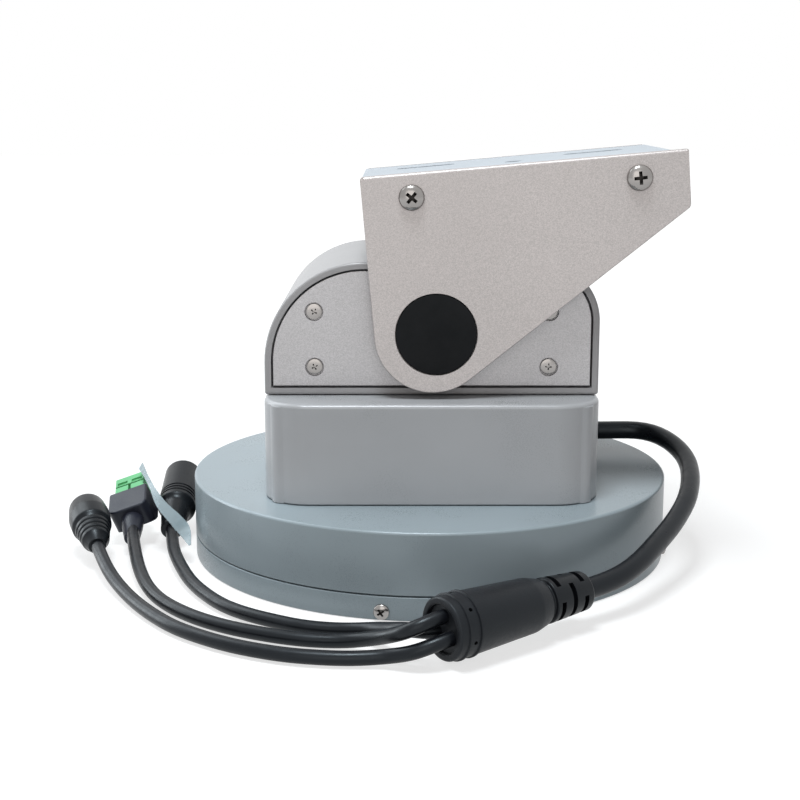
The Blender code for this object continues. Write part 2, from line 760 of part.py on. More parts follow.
def make_base(looks):
    """Build the fixed base: plate, skirt, spindle, bearing ring and ring gear."""
    seat_inner = PAN_RING_BORE_RADIUS
    seat_outer = PAN_MODULE * (PAN_RING_TEETH / 2 - 2 * DEDENDUM_SHARE)
    seat_top = PAN_RING_HEIGHT - SEAT_GAP
    rim_inner = PLATE_RADIUS - PLATE_RIM_WALL
    rim_top = SKIRT_HEIGHT - PLATE_RIM_DROP
    profile = [
        (0.0, 0.0),
        (PLATE_RADIUS, 0.0),
        (PLATE_RADIUS, rim_top),
        (rim_inner, rim_top),
        (rim_inner, PLATE_FLOOR),
        (seat_outer, PLATE_FLOOR),
        (seat_outer, seat_top),
        (seat_inner, seat_top),
        (seat_inner, PLATE_FLOOR),
        (PLATE_BOSS_RADIUS, PLATE_FLOOR),
        (PLATE_BOSS_RADIUS, PLATE_BOSS_HEIGHT),
        (0.0, PLATE_BOSS_HEIGHT),
    ]
    plate = add_object("base_plate", turned(profile, ROUND_LARGE), looks["painted_metal"], None)
    holes = bmesh.new()
    for spot in ring_places(MOUNT_HOLE_COUNT, MOUNT_HOLE_CIRCLE, 0.0, math.pi / MOUNT_HOLE_COUNT):
        top = spot + Vector((0.0, 0.0, 2 * PLATE_FLOOR))
        absorb(holes, rod(spot - Vector((0.0, 0.0, PLATE_FLOOR)), top, MOUNT_HOLE_RADIUS))
    for spot in ring_places(PAN_RING_SCREW_COUNT, PAN_RING_SCREW_CIRCLE, seat_top):
        low = spot - Vector((0.0, 0.0, RING_SCREW[3] + PAN_RING_FACE / 4))
        high = spot + Vector((0.0, 0.0, PLATE_FLOOR))
        absorb(holes, rod(low, high, RING_SCREW[2] + SEAT_GAP))
    for place in skirt_screw_places():
        inner = place @ Vector((0.0, 0.0, -SKIRT_SCREW[3] - SEAT_GAP))
        outer = place @ Vector((0.0, 0.0, SKIRT_SCREW[1]))
        absorb(holes, rod(inner, outer, SKIRT_SCREW[2] + SEAT_GAP))
    cut(plate, holes)

    top = SKIRT_HEIGHT - SKIRT_CHAMFER
    profile = [
        (SKIRT_INNER, 0.0),
        (BASE_RADIUS - SKIRT_CHAMFER, 0.0),
        (BASE_RADIUS, SKIRT_CHAMFER),
        (BASE_RADIUS, top),
        (BASE_RADIUS - SKIRT_CHAMFER, SKIRT_HEIGHT),
        (SKIRT_INNER, SKIRT_HEIGHT),
    ]
    skirt = add_object("base_skirt", turned(profile, ROUND_LARGE), looks["painted_metal"], None)
    holes = bmesh.new()
    for place in skirt_screw_places():
        inner = place @ Vector((0.0, 0.0, -2 * SKIRT_WALL))
        outer = place @ Vector((0.0, 0.0, SKIRT_WALL))
        absorb(holes, rod(inner, outer, SKIRT_SCREW[2] + SEAT_GAP))
    cut(skirt, holes)
    places = skirt_screw_places()
    add_screws("skirt_screw", screw_profile(SKIRT_SCREW), places, looks["steel"], None)

    make_spindle(looks)
    ring = extruded(
        [
            gear_outline(PAN_RING_TEETH, PAN_MODULE, PAN_MOTOR_AZIMUTH),
            circle(PAN_RING_BORE_RADIUS),
        ],
        PAN_RING_HEIGHT,
        PAN_RING_HEIGHT + PAN_RING_FACE,
    )
    ring_gear = add_object("pan_ring_gear", ring, looks["steel"], None)
    seat = PAN_RING_HEIGHT + PAN_RING_FACE
    places = [
        Matrix.Translation(spot)
        for spot in ring_places(PAN_RING_SCREW_COUNT, PAN_RING_SCREW_CIRCLE, seat)
    ]
    overlap = PAN_RING_FACE / 8
    places = [place @ Matrix.Translation((0.0, 0.0, -overlap)) for place in places]
    head_radius, head_height, shank_radius, shank_length = RING_SCREW
    long_screw = (head_radius, head_height + overlap, shank_radius, shank_length + PAN_RING_FACE)
    cut(ring_gear, screw_shapes(screw_profile(long_screw), places), "UNION")


def make_spindle(looks):
    """Build the hollow spindle, its nut and the inner bearing ring."""
    flange_top = SPINDLE_FLANGE_Z + SPINDLE_FLANGE_HEIGHT
    seat_bottom = BEARING_BOTTOM - SEAT_GAP
    seat_top = BEARING_TOP
    nut_bottom = BEARING_TOP + SEAT_GAP
    nut_top = nut_bottom + SPINDLE_NUT_HEIGHT
    profile = [
        (CABLE_BORE_RADIUS + SEAT_GAP, SPINDLE_FLANGE_Z),
        (SPINDLE_FLANGE_RADIUS, SPINDLE_FLANGE_Z),
        (SPINDLE_FLANGE_RADIUS, flange_top),
        (SPINDLE_SEAT_RADIUS + SPINDLE_SHOULDER, flange_top),
        (SPINDLE_SEAT_RADIUS + SPINDLE_SHOULDER, seat_bottom),
        (SPINDLE_SEAT_RADIUS, seat_bottom),
        (SPINDLE_SEAT_RADIUS, seat_top),
        (SPINDLE_TUBE_RADIUS, seat_top),
        (SPINDLE_TUBE_RADIUS, nut_top),
        (CABLE_BORE_RADIUS + SEAT_GAP, nut_top),
    ]
    add_object("pan_spindle", turned(profile, ROUND_MEDIUM), looks["steel"], None)
    nut_bore = SPINDLE_TUBE_RADIUS + SEAT_GAP
    profile = [
        (nut_bore, nut_bottom),
        (SPINDLE_NUT_RADIUS, nut_bottom),
        (SPINDLE_NUT_RADIUS, nut_top),
        (nut_bore, nut_top),
    ]
    nut = add_object("spindle_nut", turned(profile, ROUND_MEDIUM), looks["steel"], None)
    slots = bmesh.new()
    for spot in ring_places(4, SPINDLE_NUT_RADIUS, nut_top):
        size = Vector((SPINDLE_SHOULDER, SPINDLE_SHOULDER, SPINDLE_SHOULDER))
        absorb(slots, block(spot - size, spot + size))
    cut(nut, slots)
    middle = (BEARING_BOTTOM + BEARING_TOP) / 2
    half_groove = BALL_RADIUS * GROOVE_SHARE
    profile = [
        (INNER_RACE_BORE, BEARING_BOTTOM),
        (INNER_RACE_OUTER, BEARING_BOTTOM),
        (INNER_RACE_OUTER, middle - half_groove),
        (INNER_RACE_OUTER - RACE_GROOVE_DEPTH, middle - half_groove / 3),
        (INNER_RACE_OUTER - RACE_GROOVE_DEPTH, middle + half_groove / 3),
        (INNER_RACE_OUTER, middle + half_groove),
        (INNER_RACE_OUTER, BEARING_TOP),
        (INNER_RACE_BORE, BEARING_TOP),
    ]
    add_object("bearing_inner_ring", turned(profile, ROUND_MEDIUM), looks["steel"], None)


def make_turntable(looks, pan_axis):
    """Build the turning disc with its bearing half, balls and retainer."""
    lip_bottom = BEARING_TOP + SEAT_GAP
    edge = TURNTABLE_EDGE
    bend = [
        (
            BASE_RADIUS - edge + edge * math.sin(math.radians(45.0 * step)),
            TURNTABLE_TOP - edge + edge * math.cos(math.radians(45.0 * step)),
        )
        for step in range(3)
    ]
    profile = [
        (HUB_BORE - BEARING_LIP, TURNTABLE_TOP),
        *bend,
        (BASE_RADIUS, TURNTABLE_BOTTOM + SKIRT_CHAMFER),
        (BASE_RADIUS - SKIRT_CHAMFER, TURNTABLE_BOTTOM),
        (BASE_RADIUS - TURNTABLE_WALL, TURNTABLE_BOTTOM),
        (BASE_RADIUS - TURNTABLE_WALL, DECK_UNDERSIDE),
        (HUB_OUTER, DECK_UNDERSIDE),
        (HUB_OUTER, BEARING_BOTTOM),
        (HUB_BORE, BEARING_BOTTOM),
        (HUB_BORE, lip_bottom),
        (HUB_BORE - BEARING_LIP, lip_bottom),
    ]
    disc = add_object("turntable", turned(profile, ROUND_LARGE), looks["painted_metal"], pan_axis)
    low = (PAN_MOTOR_X, PAN_MOTOR_Y, DECK_UNDERSIDE - TURNTABLE_DECK)
    high = (PAN_MOTOR_X, PAN_MOTOR_Y, TURNTABLE_TOP + TURNTABLE_DECK)
    cut(disc, rod(low, high, PAN_MOTOR_BOSS_RADIUS + SEAT_GAP, ROUND_MEDIUM))

    middle = (BEARING_BOTTOM + BEARING_TOP) / 2
    half_groove = BALL_RADIUS * GROOVE_SHARE
    profile = [
        (OUTER_RACE_OUTER, BEARING_BOTTOM),
        (OUTER_RACE_INNER, BEARING_BOTTOM),
        (OUTER_RACE_INNER, middle - half_groove),
        (OUTER_RACE_INNER + RACE_GROOVE_DEPTH, middle - half_groove / 3),
        (OUTER_RACE_INNER + RACE_GROOVE_DEPTH, middle + half_groove / 3),
        (OUTER_RACE_INNER, middle + half_groove),
        (OUTER_RACE_INNER, BEARING_TOP),
        (OUTER_RACE_OUTER, BEARING_TOP),
    ]
    add_object("bearing_outer_ring", turned(profile, ROUND_MEDIUM), looks["steel"], pan_axis)
    wall = BALL_RADIUS * CAGE_SHARE
    profile = [
        (BALL_CIRCLE - wall, middle - 2 * wall),
        (BALL_CIRCLE + wall, middle - 2 * wall),
        (BALL_CIRCLE + wall, middle + 2 * wall),
        (BALL_CIRCLE - wall, middle + 2 * wall),
    ]
    cage = add_object("bearing_cage", turned(profile, ROUND_MEDIUM), looks["steel"], pan_axis)
    balls = bmesh.new()
    for spot in ring_places(BALL_COUNT, BALL_CIRCLE, middle):
        ball = bmesh.new()
        place = Matrix.Translation(spot)
        bmesh.ops.create_icosphere(ball, subdivisions=1, radius=BALL_RADIUS, matrix=place)
        absorb(balls, ball)
    cut(cage, balls, "UNION")
    top = BEARING_BOTTOM - SEAT_GAP
    profile = [
        (OUTER_RACE_INNER + RACE_GROOVE_DEPTH, top),
        (HUB_OUTER, top),
        (HUB_OUTER, top - RETAINER_HEIGHT),
        (OUTER_RACE_INNER + RACE_GROOVE_DEPTH, top - RETAINER_HEIGHT),
    ]
    add_object("bearing_retainer", turned(profile, ROUND_MEDIUM), looks["steel"], pan_axis)


def make_housing(looks, pan_axis):
    """Build the square body housing, open below and open under the arch."""
    outer = rounded_box(HOUSING_WIDTH, HOUSING_DEPTH, HOUSING_CORNER)
    shape = extruded([outer], HOUSING_BOTTOM, HOUSING_TOP)
    soften(shape, HOUSING_EDGE, lambda point: point.z > HOUSING_TOP - SEAT_GAP, segments=2)
    housing = add_object("body_housing", shape, looks["painted_metal"], pan_axis)
    inner = rounded_box(HOUSING_WIDTH, HOUSING_DEPTH, HOUSING_CORNER, HOUSING_WALL)
    ceiling = HOUSING_TOP - HOUSING_WALL
    cut(housing, extruded([inner], HOUSING_BOTTOM - HOUSING_WALL, ceiling))
    opening = rounded_box(HOUSING_OPENING_WIDTH, HOUSING_OPENING_DEPTH, HOUSING_CORNER / 2)
    cut(housing, extruded([opening], ceiling - HOUSING_WALL, HOUSING_TOP + HOUSING_WALL))
    posts = bmesh.new()
    inset = HOUSING_WALL + HOUSING_POST_RADIUS
    for x_side in (-1, 1):
        for y_side in (-1, 1):
            x = x_side * (HOUSING_WIDTH / 2 - inset)
            y = y_side * (HOUSING_DEPTH / 2 - inset)
            top = ceiling + HOUSING_WALL / 2
            absorb(posts, rod((x, y, HOUSING_BOTTOM), (x, y, top), HOUSING_POST_RADIUS))
    cut(housing, posts, "UNION")
    y, z = GLAND_PLACE
    start = (HOUSING_SIDE - 2 * HOUSING_WALL, y, z)
    end = (HOUSING_SIDE + HOUSING_WALL, y, z)
    cut(housing, rod(start, end, GLAND_NECK_RADIUS + SEAT_GAP, ROUND_MEDIUM))


def arch_outline(inset):
    """Return the arch outline in X and Z, drawn in by an inset."""
    x = HOUSING_WIDTH / 2 - inset
    low = ARCH_BOTTOM + inset
    high = ARCH_TOP - inset
    foot = max(ARCH_FOOT_RADIUS - inset, SEAT_GAP)
    return rounded(
        [
            (-x, low, foot),
            (x, low, foot),
            (x, high, ARCH_RIGHT_RADIUS - inset),
            (-x, high, ARCH_LEFT_RADIUS - inset),
        ]
    )


def cover_screw_spots():
    """Return the places of the cover screws in X and Z."""
    spread = HOUSING_WIDTH / 2 - COVER_SCREW_SIDE
    return [
        (side * spread, height)
        for side in (-1, 1)
        for height in (ARCH_BOTTOM + COVER_SCREW_LOW, ARCH_TOP - COVER_SCREW_DROP)
    ]


def make_arch(looks, pan_axis):
    """Build the arch shell and its two covers."""
    half = ARCH_DEPTH / 2
    shape = extruded([arch_outline(0.0)], -half, half, "Y")
    soften(shape, ARCH_EDGE, lambda point: point.y > half - SEAT_GAP)
    soften(shape, ARCH_EDGE, lambda point: point.y < SEAT_GAP - half)
    shell = add_object("arch_shell", shape, looks["silver_metal"], pan_axis)
    cut(shell, extruded([arch_outline(ARCH_WALL + ARCH_LIP)], -2 * half, 2 * half, "Y"))
    behind_lip = LIP_FACE - ARCH_LIP_DEPTH
    cut(shell, extruded([arch_outline(ARCH_WALL)], -behind_lip, behind_lip, "Y"))
    cut(shell, extruded([arch_outline(ARCH_WALL)], LIP_FACE, 2 * half, "Y"))
    cut(shell, extruded([arch_outline(ARCH_WALL)], -2 * half, -LIP_FACE, "Y"))
    opening = rounded_box(HOUSING_OPENING_WIDTH, HOUSING_OPENING_DEPTH, HOUSING_CORNER / 2)
    cut(shell, extruded([opening], ARCH_BOTTOM - ARCH_WALL, ARCH_BOTTOM + 2 * ARCH_WALL))
    for name, side in (("front", -1), ("rear", 1)):
        make_cover(name, side, looks, pan_axis)


def rear_posts():
    """Return the posts of the rear cover, which reach the front cover and take its screws."""
    posts = bmesh.new()
    end = COVER_BACK - SEAT_GAP
    bore = COVER_SCREW[2] + SEAT_GAP
    profile = [
        (0.0, THREAD_DEPTH - end),
        (bore, THREAD_DEPTH - end),
        (bore, -end),
        (STANDOFF_RADIUS, -end),
        (STANDOFF_RADIUS, COVER_BACK + COVER_THICKNESS / 2),
        (0.0, COVER_BACK + COVER_THICKNESS / 2),
    ]
    for x, z in cover_screw_spots():
        absorb(posts, turned(profile, ROUND_SMALL), Matrix.Translation((x, 0.0, z)) @ ALONG_Y)
    return posts


def make_cover(name, side, looks, pan_axis):
    """Build one cover with its gasket and bush; side is -1 in front, 1 behind."""
    low, high = sorted((side * COVER_BACK, side * COVER_FACE))
    inset = ARCH_WALL + COVER_SIDE_GAP
    cover = add_object(
        name + "_cover",
        extruded([arch_outline(inset)], low, high, "Y"),
        looks["silver_metal"],
        pan_axis,
    )
    holes = bmesh.new()
    reach = COVER_BACK - COVER_THICKNESS
    beyond = COVER_FACE + COVER_THICKNESS
    sink = COVER_FACE - COVER_SCREW_SINK
    start = (TILT_AXIS_X, side * reach, TILT_AXIS_Z)
    end = (TILT_AXIS_X, side * beyond, TILT_AXIS_Z)
    absorb(holes, rod(start, end, BUSH_RADIUS + SEAT_GAP, ROUND_MEDIUM))
    if side < 0:
        profile = [
            (0.0, reach),
            (COVER_SCREW[2] + SEAT_GAP, reach),
            (COVER_SCREW[2] + SEAT_GAP, sink),
            (COVER_SCREW_HOLE, sink),
            (COVER_SCREW_HOLE, beyond),
            (0.0, beyond),
        ]
        for x, z in cover_screw_spots():
            place = Matrix.Translation((x, 0.0, z)) @ ALONG_MINUS_Y
            absorb(holes, turned(profile, ROUND_FITTING), place)
    cut(cover, holes)
    if side > 0:
        cut(cover, rear_posts(), "UNION")
    else:
        places = [
            Matrix.Translation((x, -sink - SEAT_GAP, z)) @ ALONG_MINUS_Y
            for x, z in cover_screw_spots()
        ]
        look = looks["steel"]
        add_screws("cover_screw", screw_profile(COVER_SCREW), places, look, pan_axis)

    low, high = sorted((side * GASKET_BACK, side * (COVER_BACK - SEAT_GAP)))
    outer = arch_outline(ARCH_WALL + SEAT_GAP)
    inner = arch_outline(ARCH_WALL + ARCH_LIP)
    gasket = extruded([outer, inner], low, high, "Y")
    add_object(name + "_gasket", gasket, looks["black_rubber"], pan_axis)

    bore = SHAFT_RADIUS + SEAT_GAP
    flange = COVER_FACE + SEAT_GAP
    face = flange + BUSH_FLANGE_THICKNESS
    profile = [
        (bore, face - BUSH_LENGTH),
        (BUSH_RADIUS, face - BUSH_LENGTH),
        (BUSH_RADIUS, flange),
        (BUSH_FLANGE_RADIUS, flange),
        (BUSH_FLANGE_RADIUS, face),
        (bore, face),
    ]
    bush = turned(profile, ROUND_MEDIUM)
    bush.transform(ALONG_Y if side > 0 else ALONG_MINUS_Y)
    bush.transform(Matrix.Translation((TILT_AXIS_X, 0.0, TILT_AXIS_Z)))
    add_object(name + "_bush", bush, looks["brass"], pan_axis)


def make_motors(looks, pan_axis):
    """Build the two geared motors, the tilt motor's bracket and the control board."""
    bottom = HOUSING_BOTTOM
    top = bottom + PAN_MOTOR_HEIGHT
    bore = PAN_SHAFT_RADIUS + SEAT_GAP
    profile = [
        (bore, DECK_UNDERSIDE),
        (PAN_MOTOR_BOSS_RADIUS, DECK_UNDERSIDE),
        (PAN_MOTOR_BOSS_RADIUS, bottom),
        (PAN_MOTOR_RADIUS, bottom),
        (PAN_MOTOR_RADIUS, top - MOTOR_EDGE),
        (PAN_MOTOR_RADIUS - MOTOR_EDGE, top),
        (0.0, top),
        (0.0, bottom + MOTOR_SHAFT_DEPTH),
        (bore, bottom + MOTOR_SHAFT_DEPTH),
    ]
    motor = turned(profile, ROUND_MEDIUM)
    motor.transform(Matrix.Translation((PAN_MOTOR_X, PAN_MOTOR_Y, 0.0)))
    add_object("pan_motor", motor, looks["steel"], pan_axis)

    face = TILT_MOTOR_FACE
    back = face - TILT_MOTOR_LENGTH
    boss_end = face + SEAT_GAP + BRACKET_THICKNESS
    bore = TILT_SHAFT_RADIUS + SEAT_GAP
    profile = [
        (0.0, back),
        (TILT_MOTOR_RADIUS - MOTOR_EDGE, back),
        (TILT_MOTOR_RADIUS, back + MOTOR_EDGE),
        (TILT_MOTOR_RADIUS, face),
        (TILT_MOTOR_BOSS_RADIUS, face),
        (TILT_MOTOR_BOSS_RADIUS, boss_end),
        (bore, boss_end),
        (bore, face - MOTOR_SHAFT_DEPTH),
        (0.0, face - MOTOR_SHAFT_DEPTH),
    ]
    motor = turned(profile, ROUND_MEDIUM)
    motor.transform(Matrix.Translation((TILT_AXIS_X, 0.0, TILT_MOTOR_Z)) @ ALONG_Y)
    add_object("tilt_motor", motor, looks["steel"], pan_axis)

    near = face + SEAT_GAP
    far = near + BRACKET_THICKNESS
    low = HOUSING_BOTTOM
    high = TILT_MOTOR_Z + TILT_MOTOR_BOSS_RADIUS + BRACKET_HEAD_ROOM
    side = [
        (near, low),
        (far + BRACKET_FOOT, low),
        (far + BRACKET_FOOT, low + BRACKET_THICKNESS),
        (far, low + BRACKET_THICKNESS),
        (far, high),
        (near, high),
    ]
    width = BRACKET_WIDTH / 2
    bracket = add_object(
        "tilt_motor_bracket", extruded([side], -width, width, "X"), looks["steel"], pan_axis
    )
    start = (TILT_AXIS_X, near - BRACKET_FOOT, TILT_MOTOR_Z)
    end = (TILT_AXIS_X, far + BRACKET_FOOT, TILT_MOTOR_Z)
    cut(bracket, rod(start, end, TILT_MOTOR_BOSS_RADIUS + SEAT_GAP, ROUND_MEDIUM))
    make_board(looks, pan_axis)


def make_board(looks, pan_axis):
    """Build the control board with its posts and larger components."""
    low = HOUSING_BOTTOM + BOARD_RISE
    top = low + BOARD_THICKNESS
    x = BOARD_WIDTH / 2
    y_low = BOARD_CENTRE_Y - BOARD_DEPTH / 2
    y_high = BOARD_CENTRE_Y + BOARD_DEPTH / 2
    board = block((-x, y_low, low), (x, y_high, top))
    board_object = add_object("control_board", board, looks["board_green"], pan_axis)
    parts = bmesh.new()
    sunk = top - BOARD_THICKNESS / 2
    for x_place in (BOARD_POST_INSET - x, x - BOARD_POST_INSET):
        for y_place in (y_low + BOARD_POST_INSET, y_high - BOARD_POST_INSET):
            start = (x_place, y_place, HOUSING_BOTTOM)
            absorb(parts, rod(start, (x_place, y_place, sunk), BOARD_POST_RADIUS))
    unit = BOARD_DEPTH / 10
    for x_place in (-3 * unit, 3 * unit):
        start = Vector((x_place, BOARD_CENTRE_Y + 2 * unit, sunk))
        absorb(parts, rod(start, start + Vector((0.0, 0.0, 2 * unit)), unit))
    for x_place in (-6 * unit, 0.0, 6 * unit):
        corner = Vector((x_place - 1.5 * unit, BOARD_CENTRE_Y - 2.5 * unit, sunk))
        absorb(parts, block(corner, corner + Vector((3 * unit, 3 * unit, unit / 2))))
    for x_place in (-9 * unit, 7 * unit):
        corner = Vector((x_place, BOARD_CENTRE_Y + unit, sunk))
        absorb(parts, block(corner, corner + Vector((2 * unit, 1.5 * unit, 1.5 * unit))))
    cut(board_object, parts, "UNION")


def make_pinion(name, teeth, module, face, phase, shaft_radius, shaft_end, looks, parent):
    """Build a pinion in one piece with its motor shaft, standing on z = 0."""
    gear = extruded([gear_outline(teeth, module, phase)], 0.0, face)
    pinion = add_object(name, gear, looks["brass"], parent)
    cut(pinion, rod((0.0, 0.0, face / 2), (0.0, 0.0, shaft_end), shaft_radius), "UNION")
    return pinion


def make_cradle(looks, tilt_axis):
    """Build what tilts: shaft, gear, arms, hub, caps, platform and their screws."""
    profile = [
        (0.0, -HUB_FACE),
        (HUB_RADIUS, -HUB_FACE),
        (HUB_RADIUS, HUB_THICKNESS - HUB_FACE),
        (SHAFT_RADIUS, HUB_THICKNESS - HUB_FACE),
        (SHAFT_RADIUS, HUB_FACE - SEAT_GAP),
        (0.0, HUB_FACE - SEAT_GAP),
    ]
    shaft = turned(profile, ROUND_MEDIUM)
    shaft.transform(ALONG_Y)
    shaft_object = add_object("tilt_shaft", shaft, looks["steel"], tilt_axis)
    cut(shaft_object, hub_screws(-1), "UNION")
    bore = SHAFT_RADIUS + SEAT_GAP
    profile = [
        (bore, HUB_FACE - HUB_THICKNESS),
        (HUB_RADIUS, HUB_FACE - HUB_THICKNESS),
        (HUB_RADIUS, HUB_FACE),
        (bore, HUB_FACE),
    ]
    hub = turned(profile, ROUND_MEDIUM)
    hub.transform(ALONG_Y)
    hub_object = add_object("rear_arm_hub", hub, looks["steel"], tilt_axis)
    cut(hub_object, hub_screws(1), "UNION")

    phase = REST_TILT + math.radians(90.0)
    outlines = [gear_outline(TILT_GEAR_TEETH, TILT_MODULE, phase), circle(bore)]
    start = TILT_GEAR_START
    gear = extruded(outlines, start, start + TILT_GEAR_FACE)
    gear.transform(ALONG_Y)
    gear_object = add_object("tilt_gear", gear, looks["steel"], tilt_axis)
    profile = [
        (bore, start - TILT_GEAR_HUB_LENGTH),
        (TILT_GEAR_HUB_RADIUS, start - TILT_GEAR_HUB_LENGTH),
        (TILT_GEAR_HUB_RADIUS, start + TILT_GEAR_FACE / 2),
        (bore, start + TILT_GEAR_FACE / 2),
    ]
    boss = turned(profile, ROUND_MEDIUM)
    boss.transform(ALONG_Y)
    cut(gear_object, boss, "UNION")

    for name, side in (("front", -1), ("rear", 1)):
        make_arm(name, side, looks, tilt_axis)
    make_platform(looks, tilt_axis)


def hub_screws(side):
    """Return the countersunk screws of one hub, which stand in it and hold the arm."""
    turn = ALONG_Y if side > 0 else ALONG_MINUS_Y
    floor = ARM_OUTER - CAP_POCKET - CAP_RECESS
    spots = ring_places(HUB_SCREW_COUNT, HUB_SCREW_CIRCLE, floor, math.radians(45.0))
    places = [turn @ Matrix.Translation(spot) for spot in spots]
    return screw_shapes(countersunk_profile(HUB_SCREW), places)


def arm_slope():
    """Return the angle of the arm's sloping edge, which runs from the round to the end."""
    rise = ARM_TOP - ARM_END_HEIGHT
    far = math.hypot(ARM_REACH, rise)
    return math.atan2(rise, ARM_REACH) + math.asin(ARM_ROUND_RADIUS / far)


def arm_outline(top):
    """Return the outline of an arm of this top height in X and Z round the tilt axis."""
    radius = ARM_ROUND_RADIUS
    foot = radius * math.tan(arm_slope() / 2)
    sharp = rounded(
        [
            (-radius, top, ARM_TOP_CORNER),
            (-radius, -radius, radius),
            (foot, -radius, radius),
            (ARM_REACH, ARM_TOP - ARM_END_HEIGHT, ARM_END_CORNER),
            (ARM_REACH, top, ARM_TOP_CORNER),
        ]
    )
    outline = [sharp[0]]
    for point in sharp[1:]:
        if math.dist(point, outline[-1]) > 1e-6:
            outline.append(point)
    return [(x - ARM_SETBACK, z) for x, z in outline]


def platform_screw_spots():
    """Return the places of the side screws in X and Z round the tilt axis."""
    height = ARM_TOP - PLATFORM_SCREW_DROP
    near = PLATFORM_SCREW_INSET - ARM_ROUND_RADIUS - ARM_SETBACK
    far = ARM_REACH - PLATFORM_SCREW_INSET - ARM_SETBACK
    return [(near, height), (far, height)]


def make_arm(name, side, looks, tilt_axis):
    """Build one arm with its cap; side is -1 in front, 1 behind."""
    low, high = sorted((side * ARM_INNER, side * ARM_OUTER))
    top = ARM_TOP - REAR_ARM_DROP if side > 0 else ARM_TOP
    shape = extruded([arm_outline(top)], low, high, "Y")
    outer_face = side * ARM_OUTER
    soften(shape, ARM_EDGE, lambda point: abs(point.y - outer_face) < SEAT_GAP / 2)
    arm = add_object(name + "_arm", shape, looks["silver_metal"], tilt_axis)
    floor = ARM_OUTER - CAP_POCKET
    turn = ALONG_Y if side > 0 else ALONG_MINUS_Y
    holes = rod((0.0, 0.0, floor), (0.0, 0.0, ARM_OUTER * 2), CAP_RADIUS + SEAT_GAP, ROUND_MEDIUM)
    holes.transform(turn)
    cut(arm, holes)
    holes = bmesh.new()
    for spot in ring_places(HUB_SCREW_COUNT, HUB_SCREW_CIRCLE, floor, math.radians(45.0)):
        tool = turned(countersunk_profile(HUB_SCREW, SEAT_GAP), ROUND_SMALL)
        absorb(holes, tool, turn @ Matrix.Translation(spot))
    for x, z in platform_screw_spots():
        start = (x, side * (ARM_INNER - ARM_THICKNESS), z)
        end = (x, side * (ARM_OUTER + ARM_THICKNESS), z)
        absorb(holes, rod(start, end, PLATFORM_SCREW[2] + SEAT_GAP))
    cut(arm, holes)
    face = ARM_OUTER - CAP_RECESS
    cap = turned(
        [
            (0.0, face - CAP_THICKNESS),
            (CAP_RADIUS, face - CAP_THICKNESS),
            (CAP_RADIUS, face - SEAT_GAP),
            (CAP_RADIUS - SEAT_GAP, face),
            (0.0, face),
        ],
        ROUND_MEDIUM,
    )
    cap.transform(turn)
    add_object(name + "_arm_cap", cap, looks["black_plastic"], tilt_axis)


def make_platform(looks, tilt_axis):
    """Build the channel between the arms that carries the camera, with screws and nuts."""
    side = PLATFORM_SIDE
    inner = side - PLATFORM_THICKNESS
    top = ARM_TOP - REAR_ARM_DROP
    under = top - PLATFORM_THICKNESS
    foot = ARM_TOP - PLATFORM_FLANGE
    tiny = SEAT_GAP
    profile = rounded(
        [
            (side, foot, tiny),
            (side, top, PLATFORM_BEND),
            (-side, top, PLATFORM_BEND),
            (-side, foot, tiny),
            (-inner, foot, tiny),
            (-inner, under, PLATFORM_INNER_BEND),
            (inner, under, PLATFORM_INNER_BEND),
            (inner, foot, tiny),
        ]
    )
    start = -ARM_ROUND_RADIUS - ARM_SETBACK
    end = ARM_REACH - ARM_SETBACK
    shape = extruded([profile], start, end, "X")
    platform = add_object("camera_platform", shape, looks["silver_metal"], tilt_axis)
    middle = (start + end) / 2
    low = under - PLATFORM_THICKNESS
    high = ARM_TOP + PLATFORM_THICKNESS
    holes = rod((middle, 0.0, low), (middle, 0.0, high), PLATFORM_HOLE_RADIUS)
    for x_side in (-1, 1):
        for y_side in (-1, 1):
            x = middle + x_side * PLATFORM_SLOT_OFFSET
            y = y_side * PLATFORM_SLOT_SPREAD
            slot = [
                (x + point[0], y + point[1])
                for point in rounded_box(
                    PLATFORM_SLOT_LENGTH,
                    2 * PLATFORM_HOLE_RADIUS,
                    PLATFORM_HOLE_RADIUS - SEAT_GAP / 10,
                )
            ]
            absorb(holes, extruded([slot], low, high))
    cut(platform, holes)
    nuts = bmesh.new()
    holes = bmesh.new()
    screws = []
    nut_low = inner - PLATFORM_NUT_HEIGHT
    nut_high = inner + PLATFORM_THICKNESS / 2
    profile = [
        (0.0, nut_low),
        (PLATFORM_NUT_RADIUS, nut_low),
        (PLATFORM_NUT_RADIUS, nut_high),
        (0.0, nut_high),
    ]
    for y_side in (-1, 1):
        turn = ALONG_Y if y_side > 0 else ALONG_MINUS_Y
        for x, z in platform_screw_spots():
            absorb(nuts, turned(profile, 6), Matrix.Translation((x, 0.0, z)) @ turn)
            start = (x, y_side * (nut_low - PLATFORM_THICKNESS), z)
            end = (x, y_side * (side + PLATFORM_THICKNESS), z)
            absorb(holes, rod(start, end, PLATFORM_SCREW[2] + SEAT_GAP))
            screws.append(Matrix.Translation((x, y_side * (ARM_OUTER + SEAT_GAP), z)) @ turn)
    cut(platform, nuts, "UNION")
    cut(platform, holes)
    look = looks["steel"]
    add_screws("platform_screw", screw_profile(PLATFORM_SCREW), screws, look, tilt_axis)


